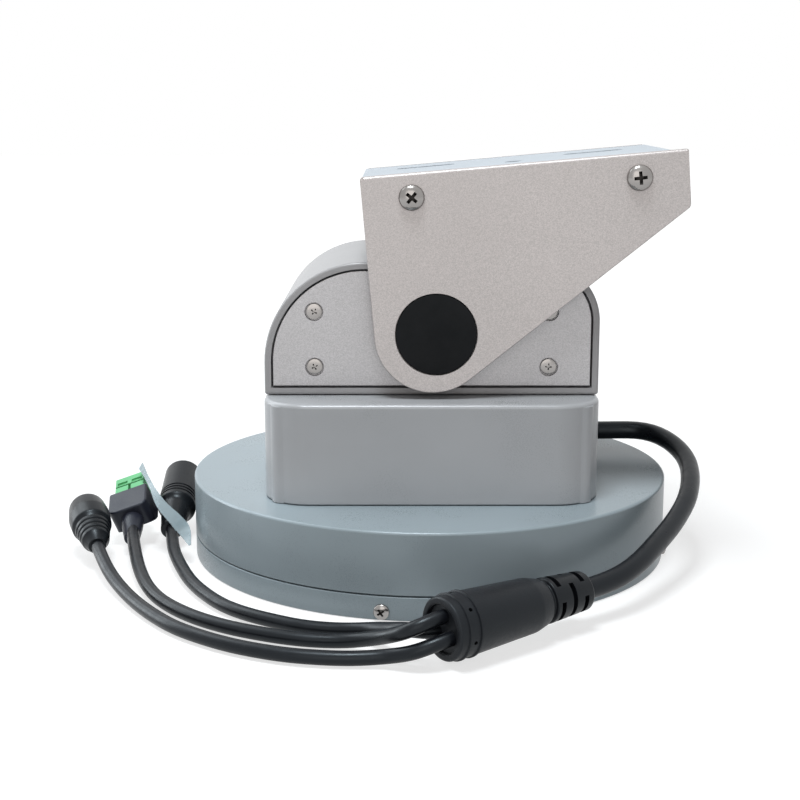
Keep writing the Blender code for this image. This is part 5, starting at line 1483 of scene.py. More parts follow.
@dataclass
class Cradle:
    """What tilts: the shaft, two arms with caps, and the camera platform."""

    axis: tuple[float, float] = (0.0015, 0.0948)
    setback: float = 0.0012
    rear_drop: float = 0.0016
    rest_tilt: float = math.radians(4.94)
    arm_inner: float = 0.0485
    arm_thickness: float = 0.003
    arm_round: float = 0.0216
    arm_top: float = 0.0592
    arm_reach: float = 0.0964
    arm_end: float = 0.0206
    top_corner: float = 0.0014
    end_corner: float = 0.0022
    arm_edge: float = 0.0004
    top_edge: float = 0.0011
    cap_radius: float = 0.015
    cap_pocket: float = 0.0016
    cap_thickness: float = 0.0012
    hub_radius: float = 0.014
    hub_thickness: float = 0.0026
    shaft_radius: float = 0.006
    sheet: float = 0.002
    flange: float = 0.015
    bend: float = 0.0025
    inner_bend: float = 0.0008
    hole_radius: float = 0.0033
    slot_length: float = 0.024
    slot_spread: float = 0.021
    slot_offset: float = 0.034
    screw_inset: float = 0.018
    screw_drop: float = 0.0087
    nut_radius: float = 0.0046
    nut_height: float = 0.0018
    screw_twist: float = 0.8
    foot_edge: float = 0.0003
    play: float = 0.0003
    pocket_play: float = 0.0002
    cap_sink: float = 0.0001
    cap_edge: float = 0.0005
    shaft_edge: float = 0.0005
    shaft_gap: float = 0.0006

    @property
    def place(self) -> Matrix:
        """Return the cradle's place at rest, raised at its free end."""
        turn = Matrix.Rotation(-self.rest_tilt, 4, "Y")
        return Matrix.Translation((self.axis[0], 0.0, self.axis[1])) @ turn

    @property
    def arm_outer(self) -> float:
        """Return how far the arms' outer faces stand from the middle."""
        return self.arm_inner + self.arm_thickness

    def arm_line(self, top: float) -> Profile:
        """Return the outline in X and Z, round the tilt axis, of an arm of this top height.

        Args:
            top: The height of its top edge.

        Returns:
            The outline's points.
        """
        rise = self.arm_top - self.arm_end
        far = math.hypot(self.arm_reach, rise)
        slope = math.atan2(rise, self.arm_reach) + math.asin(self.arm_round / far)
        foot = self.arm_round * math.tan(slope / 2)
        line = round_line(
            [
                (-self.arm_round, top, self.top_corner),
                (-self.arm_round, -self.arm_round, self.arm_round),
                (foot, -self.arm_round, self.arm_round),
                (self.arm_reach, rise, self.end_corner),
                (self.arm_reach, top, self.top_corner / 2),
            ],
            FINE_FACET,
        )
        return [(x - self.setback, z) for x, z in line]

    def screw_spots(self) -> list[tuple[float, float]]:
        """Return the places of the side screws in X and Z round the tilt axis.

        Returns:
            The places.
        """
        height = self.arm_top - self.screw_drop
        return [
            (self.screw_inset - self.arm_round - self.setback, height),
            (self.arm_reach - self.screw_inset - self.setback, height),
        ]

    def build(self, shop: Workshop) -> None:
        """Model the arms, caps, shaft, hubs, platform and screws.

        Args:
            shop: Takes the finished pieces.
        """
        for side in Side:
            self.build_arm(shop, side)
            self.build_hub(shop, side)
        self.build_platform(shop)
        self.build_screws(shop)

    def build_arm(self, shop: Workshop, side: Side) -> None:
        """Model one arm with the pocket for its cap, and the cap.

        Args:
            shop: Takes the finished pieces.
            side: The end of the tilt axis.
        """
        name = side.name.lower()
        low, high = sorted((side.value * self.arm_inner, side.value * self.arm_outer))
        top = self.arm_top - (self.rear_drop if side is Side.REAR else 0.0)
        arm = press_shape(name + "_side_arm", self.arm_line(top), low, high, "Y")
        outer = side.value * self.arm_outer
        ease_edges(
            arm,
            self.top_edge,
            4,
            lambda a, b: abs(a.y - outer) < CLOSE
            and abs(b.y - outer) < CLOSE
            and min(a.z, b.z) > top - CLOSE,
        )
        for face in (outer, side.value * self.arm_inner):
            ease_edges(
                arm,
                self.arm_edge,
                3,
                lambda a, b, face=face: abs(a.y - face) < CLOSE
                and abs(b.y - face) < CLOSE
                and min(a.z, b.z) < top - 2 * self.top_edge,
            )
        floor = self.arm_outer - self.cap_pocket
        pocket = self.cap_radius + self.pocket_play
        beyond = self.arm_outer + self.arm_thickness
        line = [
            (0.0, floor),
            (pocket, floor),
            (pocket, self.arm_outer - self.pocket_play),
            (pocket + self.play, beyond),
            (0.0, beyond),
        ]
        carve(arm, turn_shape("cap_pocket", line, 96, side.turn))
        arm = settle(arm, self.place)
        shop.hand_over(
            arm, Look.SILVER, Body.CRADLE, [name + "_arm"], weighted=True
        )
        face = self.arm_outer - self.cap_sink
        line = round_line(
            [
                (0.0, face - self.cap_thickness, 0.0),
                (self.cap_radius, face - self.cap_thickness, 0.0),
                (self.cap_radius, face, self.cap_edge),
                (0.0, face, 0.0),
            ],
            math.radians(22.5),
        )
        cap = turn_shape(name + "_axle_cap", line, 96, self.place @ side.turn)
        shop.hand_over(cap, Look.CAP, Body.CRADLE, [name + "_arm_cap"])

    def build_hub(self, shop: Workshop, side: Side) -> None:
        """Model the hub behind one arm; the front one is in one piece with the shaft.

        Args:
            shop: Takes the finished pieces.
            side: The end of the tilt axis.
        """
        face = self.arm_inner
        inner = face - self.hub_thickness
        if side is Side.FRONT:
            end = self.shaft_gap - self.arm_inner
            line = [(0.0, end), (self.shaft_radius - self.shaft_edge, end)]
            line += [(self.shaft_radius, end + self.shaft_edge), (self.shaft_radius, inner)]
            line += [(self.hub_radius, inner), (self.hub_radius, face), (0.0, face)]
            name, node = "tilt_shaft_hub", "tilt_shaft"
        else:
            bore = self.shaft_radius + self.play
            line = [(bore, inner), (self.hub_radius, inner), (self.hub_radius, face), (bore, face)]
            name, node = "rear_hub_ring", "rear_arm_hub"
        hub = turn_shape(name, line, 64, self.place @ side.turn)
        shop.hand_over(hub, Look.STEEL, Body.CRADLE, [node])

    def build_platform(self, shop: Workshop) -> None:
        """Bend the platform as one channel, punch its slots and fix its nuts.

        Args:
            shop: Takes the finished pieces.
        """
        side = self.arm_inner
        inner = side - self.sheet
        top = self.arm_top - self.rear_drop
        under = top - self.sheet
        foot = self.arm_top - self.flange
        line = round_line(
            [
                (side, foot, self.foot_edge),
                (side, top, self.bend),
                (-side, top, self.bend),
                (-side, foot, self.foot_edge),
                (-inner, foot, self.foot_edge),
                (-inner, under, self.inner_bend),
                (inner, under, self.inner_bend),
                (inner, foot, self.foot_edge),
            ],
            math.radians(10.0),
        )
        start, end = -self.arm_round - self.setback, self.arm_reach - self.setback
        plate = press_shape("camera_plate", line, start, end, "X")
        middle = (start + end) / 2
        low, high = under - self.sheet, self.arm_top + self.sheet
        spot = Matrix.Translation((middle, 0.0, 0.0))
        carve(plate, rod_shape("centre_hole", self.hole_radius, (low, high), 32, spot))
        for x_side in (-1, 1):
            for y_side in (-1, 1):
                x = middle + x_side * self.slot_offset
                y = y_side * self.slot_spread
                slot = block_shape(
                    "plate_slot",
                    (x - self.slot_length / 2, y - self.hole_radius, low),
                    (x + self.slot_length / 2, y + self.hole_radius, high),
                )
                reach = self.hole_radius * 0.999
                ease_edges(slot, reach, 10, upright)
                carve(plate, slot)
        ends = (inner - self.nut_height, inner + self.sheet / 2)
        for end in Side:
            for x, z in self.screw_spots():
                nut = rod_shape("plate_nut", self.nut_radius, ends, 6, on_side(end, x, z))
                carve(plate, nut, Cut.JOIN)
        plate = settle(plate, self.place)
        shop.hand_over(
            plate,
            Look.PLATE,
            Body.CRADLE,
            ["camera_platform"],
            weighted=True,
        )

    def build_screws(self, shop: Workshop) -> None:
        """Model the four side screws.

        Args:
            shop: Takes the finished pieces.
        """
        screw = CrossScrew(
            head_radius=0.0047, head_height=0.0031, shank_radius=0.0025, shank_length=0.0060
        )
        places = [
            self.place @ on_side(side, x, z, self.arm_outer)
            for side in Side
            for x, z in self.screw_spots()
        ]
        screw.drive(shop, "platform_screw", Body.CRADLE, places, self.screw_twist)


def smooth_route(route: Sequence[Sequence[float]], spacing: float) -> list[Vector]:
    """Return evenly spaced points on a smooth curve through the route's points.

    Args:
        route: The points that the curve goes through.
        spacing: The distance between two points of the result.

    Returns:
        The points.
    """
    points = [Vector(point) for point in route]
    ends = [2 * points[0] - points[1]] + points + [2 * points[-1] - points[-2]]
    fine = []
    for i in range(1, len(ends) - 2):
        before, start, end, after = ends[i - 1 : i + 3]
        for step in range(ROUTE_STEPS):
            t = step / ROUTE_STEPS
            linear = (end - before) * t
            square = (2 * before - 5 * start + 4 * end - after) * t**2
            cube = (3 * start - before - 3 * end + after) * t**3
            fine.append(0.5 * (2 * start + linear + square + cube))
    fine.append(points[-1])
    lengths = [(fine[i + 1] - fine[i]).length for i in range(len(fine) - 1)]
    count = max(2, round(sum(lengths) / spacing))
    step = sum(lengths) / count
    even = [fine[0]]
    walked = 0.0
    target = step
    for i, length in enumerate(lengths):
        while walked + length >= target and len(even) < count:
            even.append(fine[i].lerp(fine[i + 1], (target - walked) / length))
            target += step
        walked += length
    even.append(fine[-1])
    for _ in range(SMOOTHING):
        inner = [(a + 2 * b + c) / 4 for a, b, c in zip(even, even[1:], even[2:])]
        even = [even[0], *inner, even[-1]]
    return even


def span_of(ends: Ends) -> Vector:
    """Return the way from the first end to the second."""
    return Vector(ends[1]) - Vector(ends[0])


@dataclass
class Wiring:
    """The cable, the splitter, the three leads and what is on their ends."""

    housing_side: float = 0.0625
    gland_place: tuple[float, float] = (0.0256, 0.0413)
    cable_diameter: float = 0.0075
    lead_diameter: float = 0.005
    lead_spread: float = 0.0043
    cable_inset: float = 0.0015
    cable_lead_in: float = 0.0018
    cable_overlap: float = 0.001
    lead_inset: float = 0.0002
    lead_step: float = 0.0003
    lead_overlap: float = 0.0006
    cord_sides: int = 8
    gland_wall: float = 0.0033
    gland_gap: float = 0.0001
    gland_radius: float = 0.008
    gland_neck: float = 0.006
    gland_washer: float = 0.0022
    gland_tip_radii: tuple[float, float] = (0.0062, 0.0047)
    gland_length: float = 0.0095
    mouth_depth: float = 0.006
    mouth_floor: float = 0.0013
    mouth_radius: float = 0.0082
    splitter_ends: Ends = ((0.0015, -0.1342, 0.0122), (0.0513, -0.0983, 0.0130))
    splitter_length: float = 0.042
    band_places: tuple[float, float] = (0.0034, 0.0080)
    band_width: float = 0.0006
    band_height: float = 0.0005
    band_slope: float = 0.0002
    pin_hole_count: int = 6
    pin_hole_radius: float = 0.0007
    pin_hole_place: float = 0.0060
    pin_hole_turn: float = math.radians(15.0)
    wide_radius: float = 0.0108
    narrow_radius: float = 0.0095
    shoulder_radius: float = 0.0080
    relief_radii: tuple[float, float] = (0.0080, 0.0069)
    slot_rows: int = 3
    slot_turns: tuple[float, float] = (math.radians(199.0), math.radians(154.0))
    slot_sweep: float = math.radians(138.0)
    slot_width: float = 0.36
    power_ends: Ends = ((-0.1288, -0.0385, 0.0100), (-0.1396, -0.0071, 0.0175))
    grip_count: int = 4
    grip_start: tuple[float, float] = (0.0053, 0.0044)
    grip_pitch: float = 0.0025
    grip_growth: float = 0.00045
    power_bore: float = 0.0030
    power_bore_depth: float = 0.009
    serial_ends: Ends = ((-0.1206, -0.0079, 0.0110), (-0.1227, 0.0068, 0.0153))
    serial_roll: float = math.radians(-20.0)
    block_half: tuple[float, float] = (0.0082, 0.0065)
    block_tail_edge: float = 0.0034
    block_edge: float = 0.0008
    boot_length: float = 0.013
    plug_half: tuple[float, float] = (0.0063, 0.0050)
    plug_length: float = 0.013
    plug_shoulder: float = 0.0042
    plug_edge: float = 0.0003
    pole_length: float = 0.0068
    network_ends: Ends = ((-0.1045, -0.0107, 0.0080), (-0.1056, 0.0340, 0.0192))
    network_radius: float = 0.0079
    network_relief: float = 0.018
    rib_count: int = 3
    rib_pitch: float = 0.0021
    rib_depth: float = 0.0005
    socket_half: tuple[float, float] = (0.00585, 0.00415)
    socket_depth: float = 0.010
    tag_widths: tuple[float, ...] = (0.0030, 0.0018, 0.0020, 0.0044, 0.0068, 0.0010)
    tag_turns: tuple[float, ...] = (60.0, 50.0, 40.0, 20.0, 10.0, 30.0)
    tag_spacing: float = 0.0012
    tag_thickness: float = 0.0003

    @property
    def gland_tip(self) -> Vector:
        """Return where the cable leaves the gland."""
        y, z = self.gland_place
        return Vector((self.housing_side + self.gland_length, y, z))

    def build(self, shop: Workshop) -> None:
        """Model the pieces first, then the cords that join them.

        Args:
            shop: Takes the finished pieces.
        """
        self.build_gland(shop)
        splitter = self.build_splitter(shop)
        relief = self.build_relief(shop)
        power = self.build_power(shop)
        block = self.build_block(shop)
        plug = self.build_plug(shop)
        network = self.build_network(shop)
        self.build_tag(shop)
        self.build_cable(shop)
        for name, angle, route, ends, on_it in (
            ("power", 210.0, POWER_ROUTE, self.power_ends, [power]),
            ("serial", 90.0, SERIAL_ROUTE, self.serial_ends, [block, plug]),
            ("network", -30.0, NETWORK_ROUTE, self.network_ends, [network]),
        ):
            self.build_lead(shop, name, math.radians(angle), route, ends)

    def build_gland(self, shop: Workshop) -> None:
        """Turn the gland that holds the cable in the housing's wall.

        Args:
            shop: Takes the finished pieces.
        """
        inside = self.housing_side - self.gland_wall
        outside = self.housing_side + self.gland_gap
        radius, neck, washer = self.gland_radius, self.gland_neck, self.gland_washer
        root, tip = self.gland_tip_radii
        line = round_line(
            [
                (0.0, inside - washer, 0.0),
                (radius, inside - washer, 0.0),
                (radius, inside, 0.0),
                (neck, inside, 0.0),
                (neck, outside, 0.0),
                (radius, outside, 0.0),
                (radius, outside + washer, 0.0007),
                (root, outside + washer + 0.0002, 0.0003),
                (tip, self.gland_tip.x, 0.0004),
                (0.0, self.gland_tip.x, 0.0),
            ]
        )
        place = Matrix.Translation((0.0, *self.gland_place)) @ ALONG_X
        gland = turn_shape("gland_body", line, 64, place)
        shop.hand_over(gland, Look.RUBBER, Body.TURRET, ["cable_gland"])

    def build_splitter(self, shop: Workshop) -> Piece:
        """Turn the splitter's body with two raised bands, and drill the small holes.

        Args:
            shop: Takes the finished pieces.

        Returns:
            The piece.
        """
        wide = self.wide_radius
        corners = [
            (0.0, self.mouth_floor, 0.0),
            (self.mouth_radius, self.mouth_floor, 0.0),
            (self.mouth_radius, 0.0, 0.0006),
            (wide - 0.0001, 0.0, 0.0008),
        ]
        ridge = wide + self.band_height
        for low in self.band_places:
            high = low + self.band_width
            corners += [(wide, low - self.band_slope, 0.0), (ridge, low, 0.0)]
            corners += [(ridge, high, 0.0), (wide, high + self.band_slope, 0.0)]
        corners += [
            (self.narrow_radius, self.splitter_length * 0.86, 0.008),
            (self.shoulder_radius, self.splitter_length, 0.0015),
            (0.0, self.splitter_length, 0.0),
        ]
        body = turn_shape("splitter_body", round_line(corners, math.radians(10.0)), 80)
        spots = ring_of(self.pin_hole_count, wide, self.pin_hole_place, self.pin_hole_turn)
        for spot in spots:
            out = stand_on(spot, spot + Vector((spot.x, spot.y, 0.0)).normalized())
            carve(body, rod_shape("pin_hole", self.pin_hole_radius, (-0.0012, 0.001), 16, out))
        body = settle(body, stand_on(*self.splitter_ends))
        return shop.hand_over(
            body, Look.MOULDED, Body.TURRET, ["cable_splitter"]
        )

    def build_relief(self, shop: Workshop) -> Piece:
        """Turn the relief and cut its staggered slots.

        Args:
            shop: Takes the finished pieces.

        Returns:
            The piece.
        """
        start = self.splitter_length
        end = span_of(self.splitter_ends).length
        first, last = self.relief_radii
        line = round_line(
            [
                (0.0, start, 0.0),
                (first * 0.86, start, 0.0),
                (first * 0.86, start + 0.0012, 0.0003),
                (first, start + 0.0016, 0.0005),
                (last, end - 0.0002, 0.0012),
                (last * 0.72, end, 0.0006),
                (0.0, end, 0.0),
            ],
            math.radians(12.0),
        )
        relief = turn_shape("relief_body", line, 80)
        pitch = (end - start - 0.003) / self.slot_rows
        for row in range(self.slot_rows):
            height = start + 0.0032 + pitch * row
            for number in range(2):
                slot = self.relief_slot("relief_slot", height, pitch * self.slot_width)
                angle = self.slot_turns[row % 2] + math.pi * number
                turn = Matrix.Rotation(angle, 4, "Z")
                carve(relief, settle(slot, turn))
        relief = settle(relief, stand_on(*self.splitter_ends))
        return shop.hand_over(
            relief, Look.RUBBER, Body.TURRET, ["splitter_relief"]
        )

    def relief_slot(self, name: str, low: float, width: float) -> Piece:
        """Return the tool for one slot, most of half way round the relief.

        Args:
            name: The name of the tool.
            low: Where the slot starts.
            width: How wide it is.

        Returns:
            The tool.
        """
        inner, outer = self.relief_radii[1] * 0.74, self.relief_radii[0] * 1.2
        points = [(inner, low), (outer, low), (outer, low + width), (inner, low + width)]
        piece = draw_line(name, [Vector((r, 0.0, z)) for r, z in points], closed=True)
        bpy.ops.mesh.edge_face_add()
        bpy.ops.mesh.spin(
            steps=20,
            angle=self.slot_sweep,
            center=(0.0, 0.0, 0.0),
            axis=(0.0, 0.0, 1.0),
        )
        return settle(piece, Matrix.Rotation(-self.slot_sweep / 2, 4, "Z"))

    def build_power(self, shop: Workshop) -> Piece:
        """Turn the round power connector with its grip rings and socket.

        Args:
            shop: Takes the finished pieces.

        Returns:
            The piece.
        """
        length = span_of(self.power_ends).length
        corners = [(0.0, 0.0, 0.0), (0.0034, 0.0, 0.0004), (0.0046, 0.0036, 0.0)]
        radius, height = self.grip_start
        for _ in range(self.grip_count):
            corners += [(radius, height, 0.0003), (radius + 0.0003, height + 0.0015, 0.0003)]
            corners += [(radius - 0.0004, height + 0.0017, 0.0)]
            corners += [(radius - 0.0002, height + 0.0022, 0.0)]
            height += self.grip_pitch
            radius += self.grip_growth
        corners += [
            (0.0078, length * 0.46, 0.002),
            (0.0082, length * 0.66, 0.006),
            (0.0072, length * 0.90, 0.004),
            (0.0046, length, 0.0012),
            (self.power_bore, length, 0.0004),
            (self.power_bore, length - self.power_bore_depth, 0.0),
            (0.0, length - self.power_bore_depth, 0.0),
        ]
        line = round_line(corners, math.radians(12.0))
        jack = turn_shape("power_jack", line, 72, stand_on(*self.power_ends))
        return shop.hand_over(
            jack, Look.RUBBER, Body.TURRET, ["power_connector"]
        )

    @property
    def serial_frame(self) -> Matrix:
        """Return the serial block's place, with Y from its tail to its nose.

        Returns:
            The place.
        """
        along = span_of(self.serial_ends).normalized()
        level = along.cross(Vector((0.0, 0.0, 1.0))).normalized()
        up = level.cross(along)
        turn = Matrix((level, along, up)).transposed().to_4x4()
        tail = Matrix.Translation(self.serial_ends[0])
        return tail @ turn @ Matrix.Rotation(self.serial_roll, 4, "Y")

    def build_block(self, shop: Workshop) -> Piece:
        """Model the square block, slanted under its tail, with the boot round its lead.

        Args:
            shop: Takes the finished pieces.

        Returns:
            The piece.
        """
        length = span_of(self.serial_ends).length
        x, z = self.block_half
        side = [(0.0, -z / 2), (length / 2, -z), (length, -z), (length, z), (0.0, z)]
        block = press_shape("serial_body", side, -x, x, "X")
        ease_edges(
            block,
            self.block_tail_edge,
            5,
            lambda a, b: max(a.y, b.y) < CLOSE and abs(a.z - b.z) > z,
        )
        ease_edges(
            block,
            self.block_edge,
            3,
            lambda a, b: min(a.z, b.z) > z - CLOSE or min(a.y, b.y) > length - CLOSE,
        )
        end, root = -self.boot_length, 0.002
        line = [(0.0, end), (0.0031, end), (0.0042, -0.005), (0.0046, root), (0.0, root)]
        carve(block, turn_shape("serial_boot", line, 40, ALONG_Y), Cut.JOIN)
        block = settle(block, self.serial_frame)
        return shop.hand_over(
            block, Look.BLOCK, Body.TURRET, ["serial_block"], weighted=True
        )

    def build_plug(self, shop: Workshop) -> Piece:
        """Model the two pole plug with its shoulder, clamp slits, wire entries and grooves.

        Args:
            shop: Takes the finished pieces.

        Returns:
            The piece.
        """
        start = span_of(self.serial_ends).length
        end = start + self.plug_length
        x, z = self.plug_half
        step = self.plug_shoulder
        line = [(start, -z), (end - step, -z), (end, -z + step), (end, z), (start, z)]
        plug = press_shape("terminal_body", line, -x, x, "X")
        ease_edges(plug, self.plug_edge, 2, lambda a, b: True)
        ridge = start + self.pole_length
        above = z + 0.001
        tools = []
        for middle in (-x / 2, x / 2):
            slit = ((-0.0022, ridge + 0.0004, z - 0.0008), (0.0022, ridge + 0.0026, above))
            entry = ((-0.0017, end - 0.004, -0.0004), (0.0017, end + 0.002, 0.0028))
            for low, high in (slit, entry):
                tools.append(((middle + low[0], *low[1:]), (middle + high[0], *high[1:])))
        tools.append(((-0.0006, start - 0.001, z - 0.0024), (0.0006, ridge, above)))
        tools.append(((-x - 0.001, ridge - 0.001, z - 0.0022), (x + 0.001, ridge, above)))
        for low, high in tools:
            carve(plug, block_shape("plug_cut", low, high))
        plug = settle(plug, self.serial_frame)
        return shop.hand_over(
            plug, Look.GREEN, Body.TURRET, ["terminal_plug"], weighted=True
        )

    def build_network(self, shop: Workshop) -> Piece:
        """Turn the network connector with its relief, ribs and square socket.

        Args:
            shop: Takes the finished pieces.

        Returns:
            The piece.
        """
        length = span_of(self.network_ends).length
        relief = self.network_relief
        wide = self.network_radius
        corners = [
            (0.0, 0.0, 0.0),
            (0.0044, 0.0, 0.0006),
            (0.0062, relief * 0.9, 0.004),
            (wide, relief, 0.0014),
            (wide, relief * 1.12, 0.0),
        ]
        height = relief * 1.14
        groove = wide - self.rib_depth
        for _ in range(self.rib_count):
            corners += [(groove, height, 0.0), (groove, height + 0.0006, 0.0)]
            corners += [(wide, height + 0.0008, 0.0), (wide, height + 0.0017, 0.0)]
            height += self.rib_pitch
        corners += [(wide, length, 0.0012), (0.0, length, 0.0)]
        line = round_line(corners, math.radians(12.0))
        body = turn_shape("network_body", line, 80)
        x, y = self.socket_half
        low, high = length - self.socket_depth, length + self.socket_depth
        carve(body, block_shape("network_socket", (-x, -y, low), (x, y, high)))
        body = settle(body, stand_on(*self.network_ends))
        return shop.hand_over(
            body, Look.RUBBER, Body.TURRET, ["network_connector"], weighted=True
        )

    def build_tag(self, shop: Workshop) -> None:
        """Lay the film tag as one strip that widens and twists: draw both edges, bridge them.

        Args:
            shop: Takes the finished pieces.
        """
        widths, turns = self.tag_widths, self.tag_turns
        rows = smooth_route(TAG_ROUTE, self.tag_spacing)
        count = len(rows) - 1
        left, right = [], []
        for i, point in enumerate(rows):
            share = i / count * (len(widths) - 1)
            low = min(int(share), len(widths) - 2)
            part = share - low
            width = widths[low] * (1 - part) + widths[low + 1] * part
            turn = math.radians(turns[low] * (1 - part) + turns[low + 1] * part)
            along = (rows[min(i + 1, count)] - rows[max(i - 1, 0)]).normalized()
            level = along.cross(Vector((0.0, 0.0, 1.0))).normalized()
            across = Matrix.Rotation(turn, 3, along) @ level
            left.append(point - across * width / 2)
            right.append(point + across * width / 2)
        first = draw_line("tag_film_strip", left, closed=False)
        tag = gather([first, draw_line("tag_film_edge", right, closed=False)])
        edit(tag, "EDGE")
        bpy.ops.mesh.select_all(action="SELECT")
        bpy.ops.mesh.bridge_edge_loops()
        settle(tag)
        thick = tag.modifiers.new("thickness", "SOLIDIFY")
        thick.thickness = self.tag_thickness
        thick.offset = 0.0
        bpy.ops.object.modifier_apply(modifier=thick.name)
        shop.hand_over(tag, Look.FILM, Body.TURRET, ["cable_tag"])

    def lay_cord(
        self,
        shop: Workshop,
        name: str,
        route: list[Vector],
        diameter: float,
    ) -> None:
        """Args:
            shop: Where the cord is handed over.
            name: The CAD node that the cord replaces.
            route: The points that it goes through, from its exit on.
            diameter: How thick it is.
        """
        points = smooth_route(route, diameter * 0.5)
        curve = bpy.data.curves.new(name + "_cord", "CURVE")
        curve.dimensions = "3D"
        curve.bevel_depth = diameter / 2
        curve.bevel_resolution = self.cord_sides
        curve.use_fill_caps = True
        line = curve.splines.new("POLY")
        line.points.add(len(points) - 1)
        for slot, point in zip(line.points, points):
            slot.co = (*point, 1.0)
        line.use_smooth = True
        cord = bpy.data.objects.new(name + "_cord", curve)
        bpy.context.scene.collection.objects.link(cord)
        shop.hand_over(cord, Look.JACKET, Body.TURRET, [name])

    def build_cable(self, shop: Workshop) -> None:
        """Lay the main cable from the gland to the splitter.

        Args:
            shop: Takes the finished pieces.
        """
        start = self.gland_tip - Vector((self.cable_inset, 0.0, 0.0))
        back = span_of(self.splitter_ends).normalized()
        tip = Vector(self.splitter_ends[1])
        along = Vector((self.cable_diameter + self.cable_lead_in, 0.0, 0.0))
        route = [start, start + along]
        route += [Vector(point) for point in CABLE_ROUTE]
        route += [tip + back * self.cable_diameter, tip - back * self.cable_overlap]
        self.lay_cord(shop, "main_cable", route, self.cable_diameter)

    def build_lead(
        self,
        shop: Workshop,
        name: str,
        angle: float,
        middle: Sequence[Place],
        ends: Ends,
    ) -> None:
        """Lay one lead from the splitter's mouth to its connector.

        Args:
            shop: Takes the finished pieces.
            name: What the lead is for.
            angle: Where it leaves the splitter's mouth.
            middle: The points of its route.
            ends: The tail and nose of its connector.
        """
        place = stand_on(*self.splitter_ends)
        x = self.lead_spread * math.cos(angle)
        y = self.lead_spread * math.sin(angle)
        seat = place @ Vector((x, y, self.mouth_depth + self.lead_inset))
        mouth = place @ Vector((x, y, -self.lead_step))
        last = Vector(ends[0]) + span_of(ends).normalized() * self.lead_overlap
        route = [seat, mouth, *[Vector(point) for point in middle], last]
        self.lay_cord(shop, name + "_lead", route, self.lead_diameter)


CABLE_ROUTE = (
    (0.0903, 0.0256, 0.0415),
    (0.0977, 0.0187, 0.0405),
    (0.1025, 0.0081, 0.0385),
    (0.1048, -0.0023, 0.0360),
    (0.1043, -0.0133, 0.0338),
    (0.1026, -0.0236, 0.0316),
    (0.0992, -0.0358, 0.0285),
    (0.0945, -0.0458, 0.0254),
    (0.0885, -0.0568, 0.0224),
    (0.0815, -0.0677, 0.0196),
    (0.0745, -0.0782, 0.0168),
    (0.0662, -0.0873, 0.0143),
)

POWER_ROUTE = (
    (-0.0061, -0.1401, 0.0070),
    (-0.0118, -0.1370, 0.0046),
    (-0.0182, -0.1352, 0.0032),
    (-0.0279, -0.1355, 0.0028),
    (-0.0376, -0.1346, 0.0028),
    (-0.0475, -0.1327, 0.0028),
    (-0.0575, -0.1290, 0.0028),
    (-0.0680, -0.1237, 0.0028),
    (-0.0789, -0.1160, 0.0028),
    (-0.0898, -0.1061, 0.0028),
    (-0.1008, -0.0916, 0.0029),
    (-0.1098, -0.0773, 0.0034),
    (-0.1179, -0.0628, 0.0049),
    (-0.1234, -0.0518, 0.0073),
)

SERIAL_ROUTE = (
    (-0.0080, -0.1385, 0.0138),
    (-0.0133, -0.1335, 0.0102),
    (-0.0192, -0.1270, 0.0066),
    (-0.0284, -0.1214, 0.0034),
    (-0.0384, -0.1197, 0.0028),
    (-0.0486, -0.1174, 0.0028),
    (-0.0590, -0.1132, 0.0028),
    (-0.0698, -0.1076, 0.0028),
    (-0.0812, -0.0993, 0.0028),
    (-0.0914, -0.0888, 0.0028),
    (-0.0996, -0.0775, 0.0031),
    (-0.1058, -0.0653, 0.0042),
    (-0.1110, -0.0502, 0.0058),
    (-0.1151, -0.0347, 0.0076),
    (-0.1184, -0.0201, 0.0092),
)

NETWORK_ROUTE = (
    (-0.0090, -0.1314, 0.0112),
    (-0.0147, -0.1246, 0.0086),
    (-0.0205, -0.1164, 0.0056),
    (-0.0287, -0.1112, 0.0033),
    (-0.0373, -0.1090, 0.0028),
    (-0.0460, -0.1064, 0.0028),
    (-0.0550, -0.1013, 0.0028),
    (-0.0642, -0.0953, 0.0028),
    (-0.0740, -0.0862, 0.0028),
    (-0.0829, -0.0732, 0.0029),
    (-0.0902, -0.0595, 0.0034),
    (-0.0966, -0.0430, 0.0046),
    (-0.1011, -0.0281, 0.0059),
)

TAG_ROUTE = (
    (-0.1206, 0.0143, 0.0285),
    (-0.1134, -0.0047, 0.0254),
    (-0.1078, -0.0144, 0.0200),
    (-0.1017, -0.0207, 0.0160),
    (-0.0974, -0.0238, 0.0120),
    (-0.0942, -0.0308, 0.0080),
)


@dataclass
class InnerWorks:
    """The CAD nodes that stay as they are and get their finish here."""

    steel: tuple[str, ...] = (
        "pan_spindle",
        "spindle_nut",
        "bearing_inner_ring",
        "bearing_outer_ring",
        "bearing_cage",
        "bearing_retainer",
        "pan_ring_gear",
        "pan_motor",
        "tilt_motor",
        "tilt_motor_bracket",
        "tilt_gear",
    )
    brass: tuple[str, ...] = ("pan_pinion", "tilt_pinion")
    rubber: tuple[str, ...] = ("front_gasket", "rear_gasket")
    paint: tuple[str, ...] = ("base_plate",)
    board: tuple[str, ...] = ("control_board",)

    def dress(self, nodes: dict[str, Piece], palette: Palette) -> None:
        """Dress every carried CAD node.

        Args:
            nodes: The frame's nodes by name.
            palette: The finishes.
        """
        groups = (
            (self.steel, Look.STEEL),
            (self.brass, Look.BRASS),
            (self.rubber, Look.RUBBER),
            (self.paint, Look.DISC),
            (self.board, Look.BOARD),
        )
        for names, look in groups:
            for name in names:
                palette.dress_node(nodes[name], look)
                log.info("%s: CAD node in %s", name, look.value)


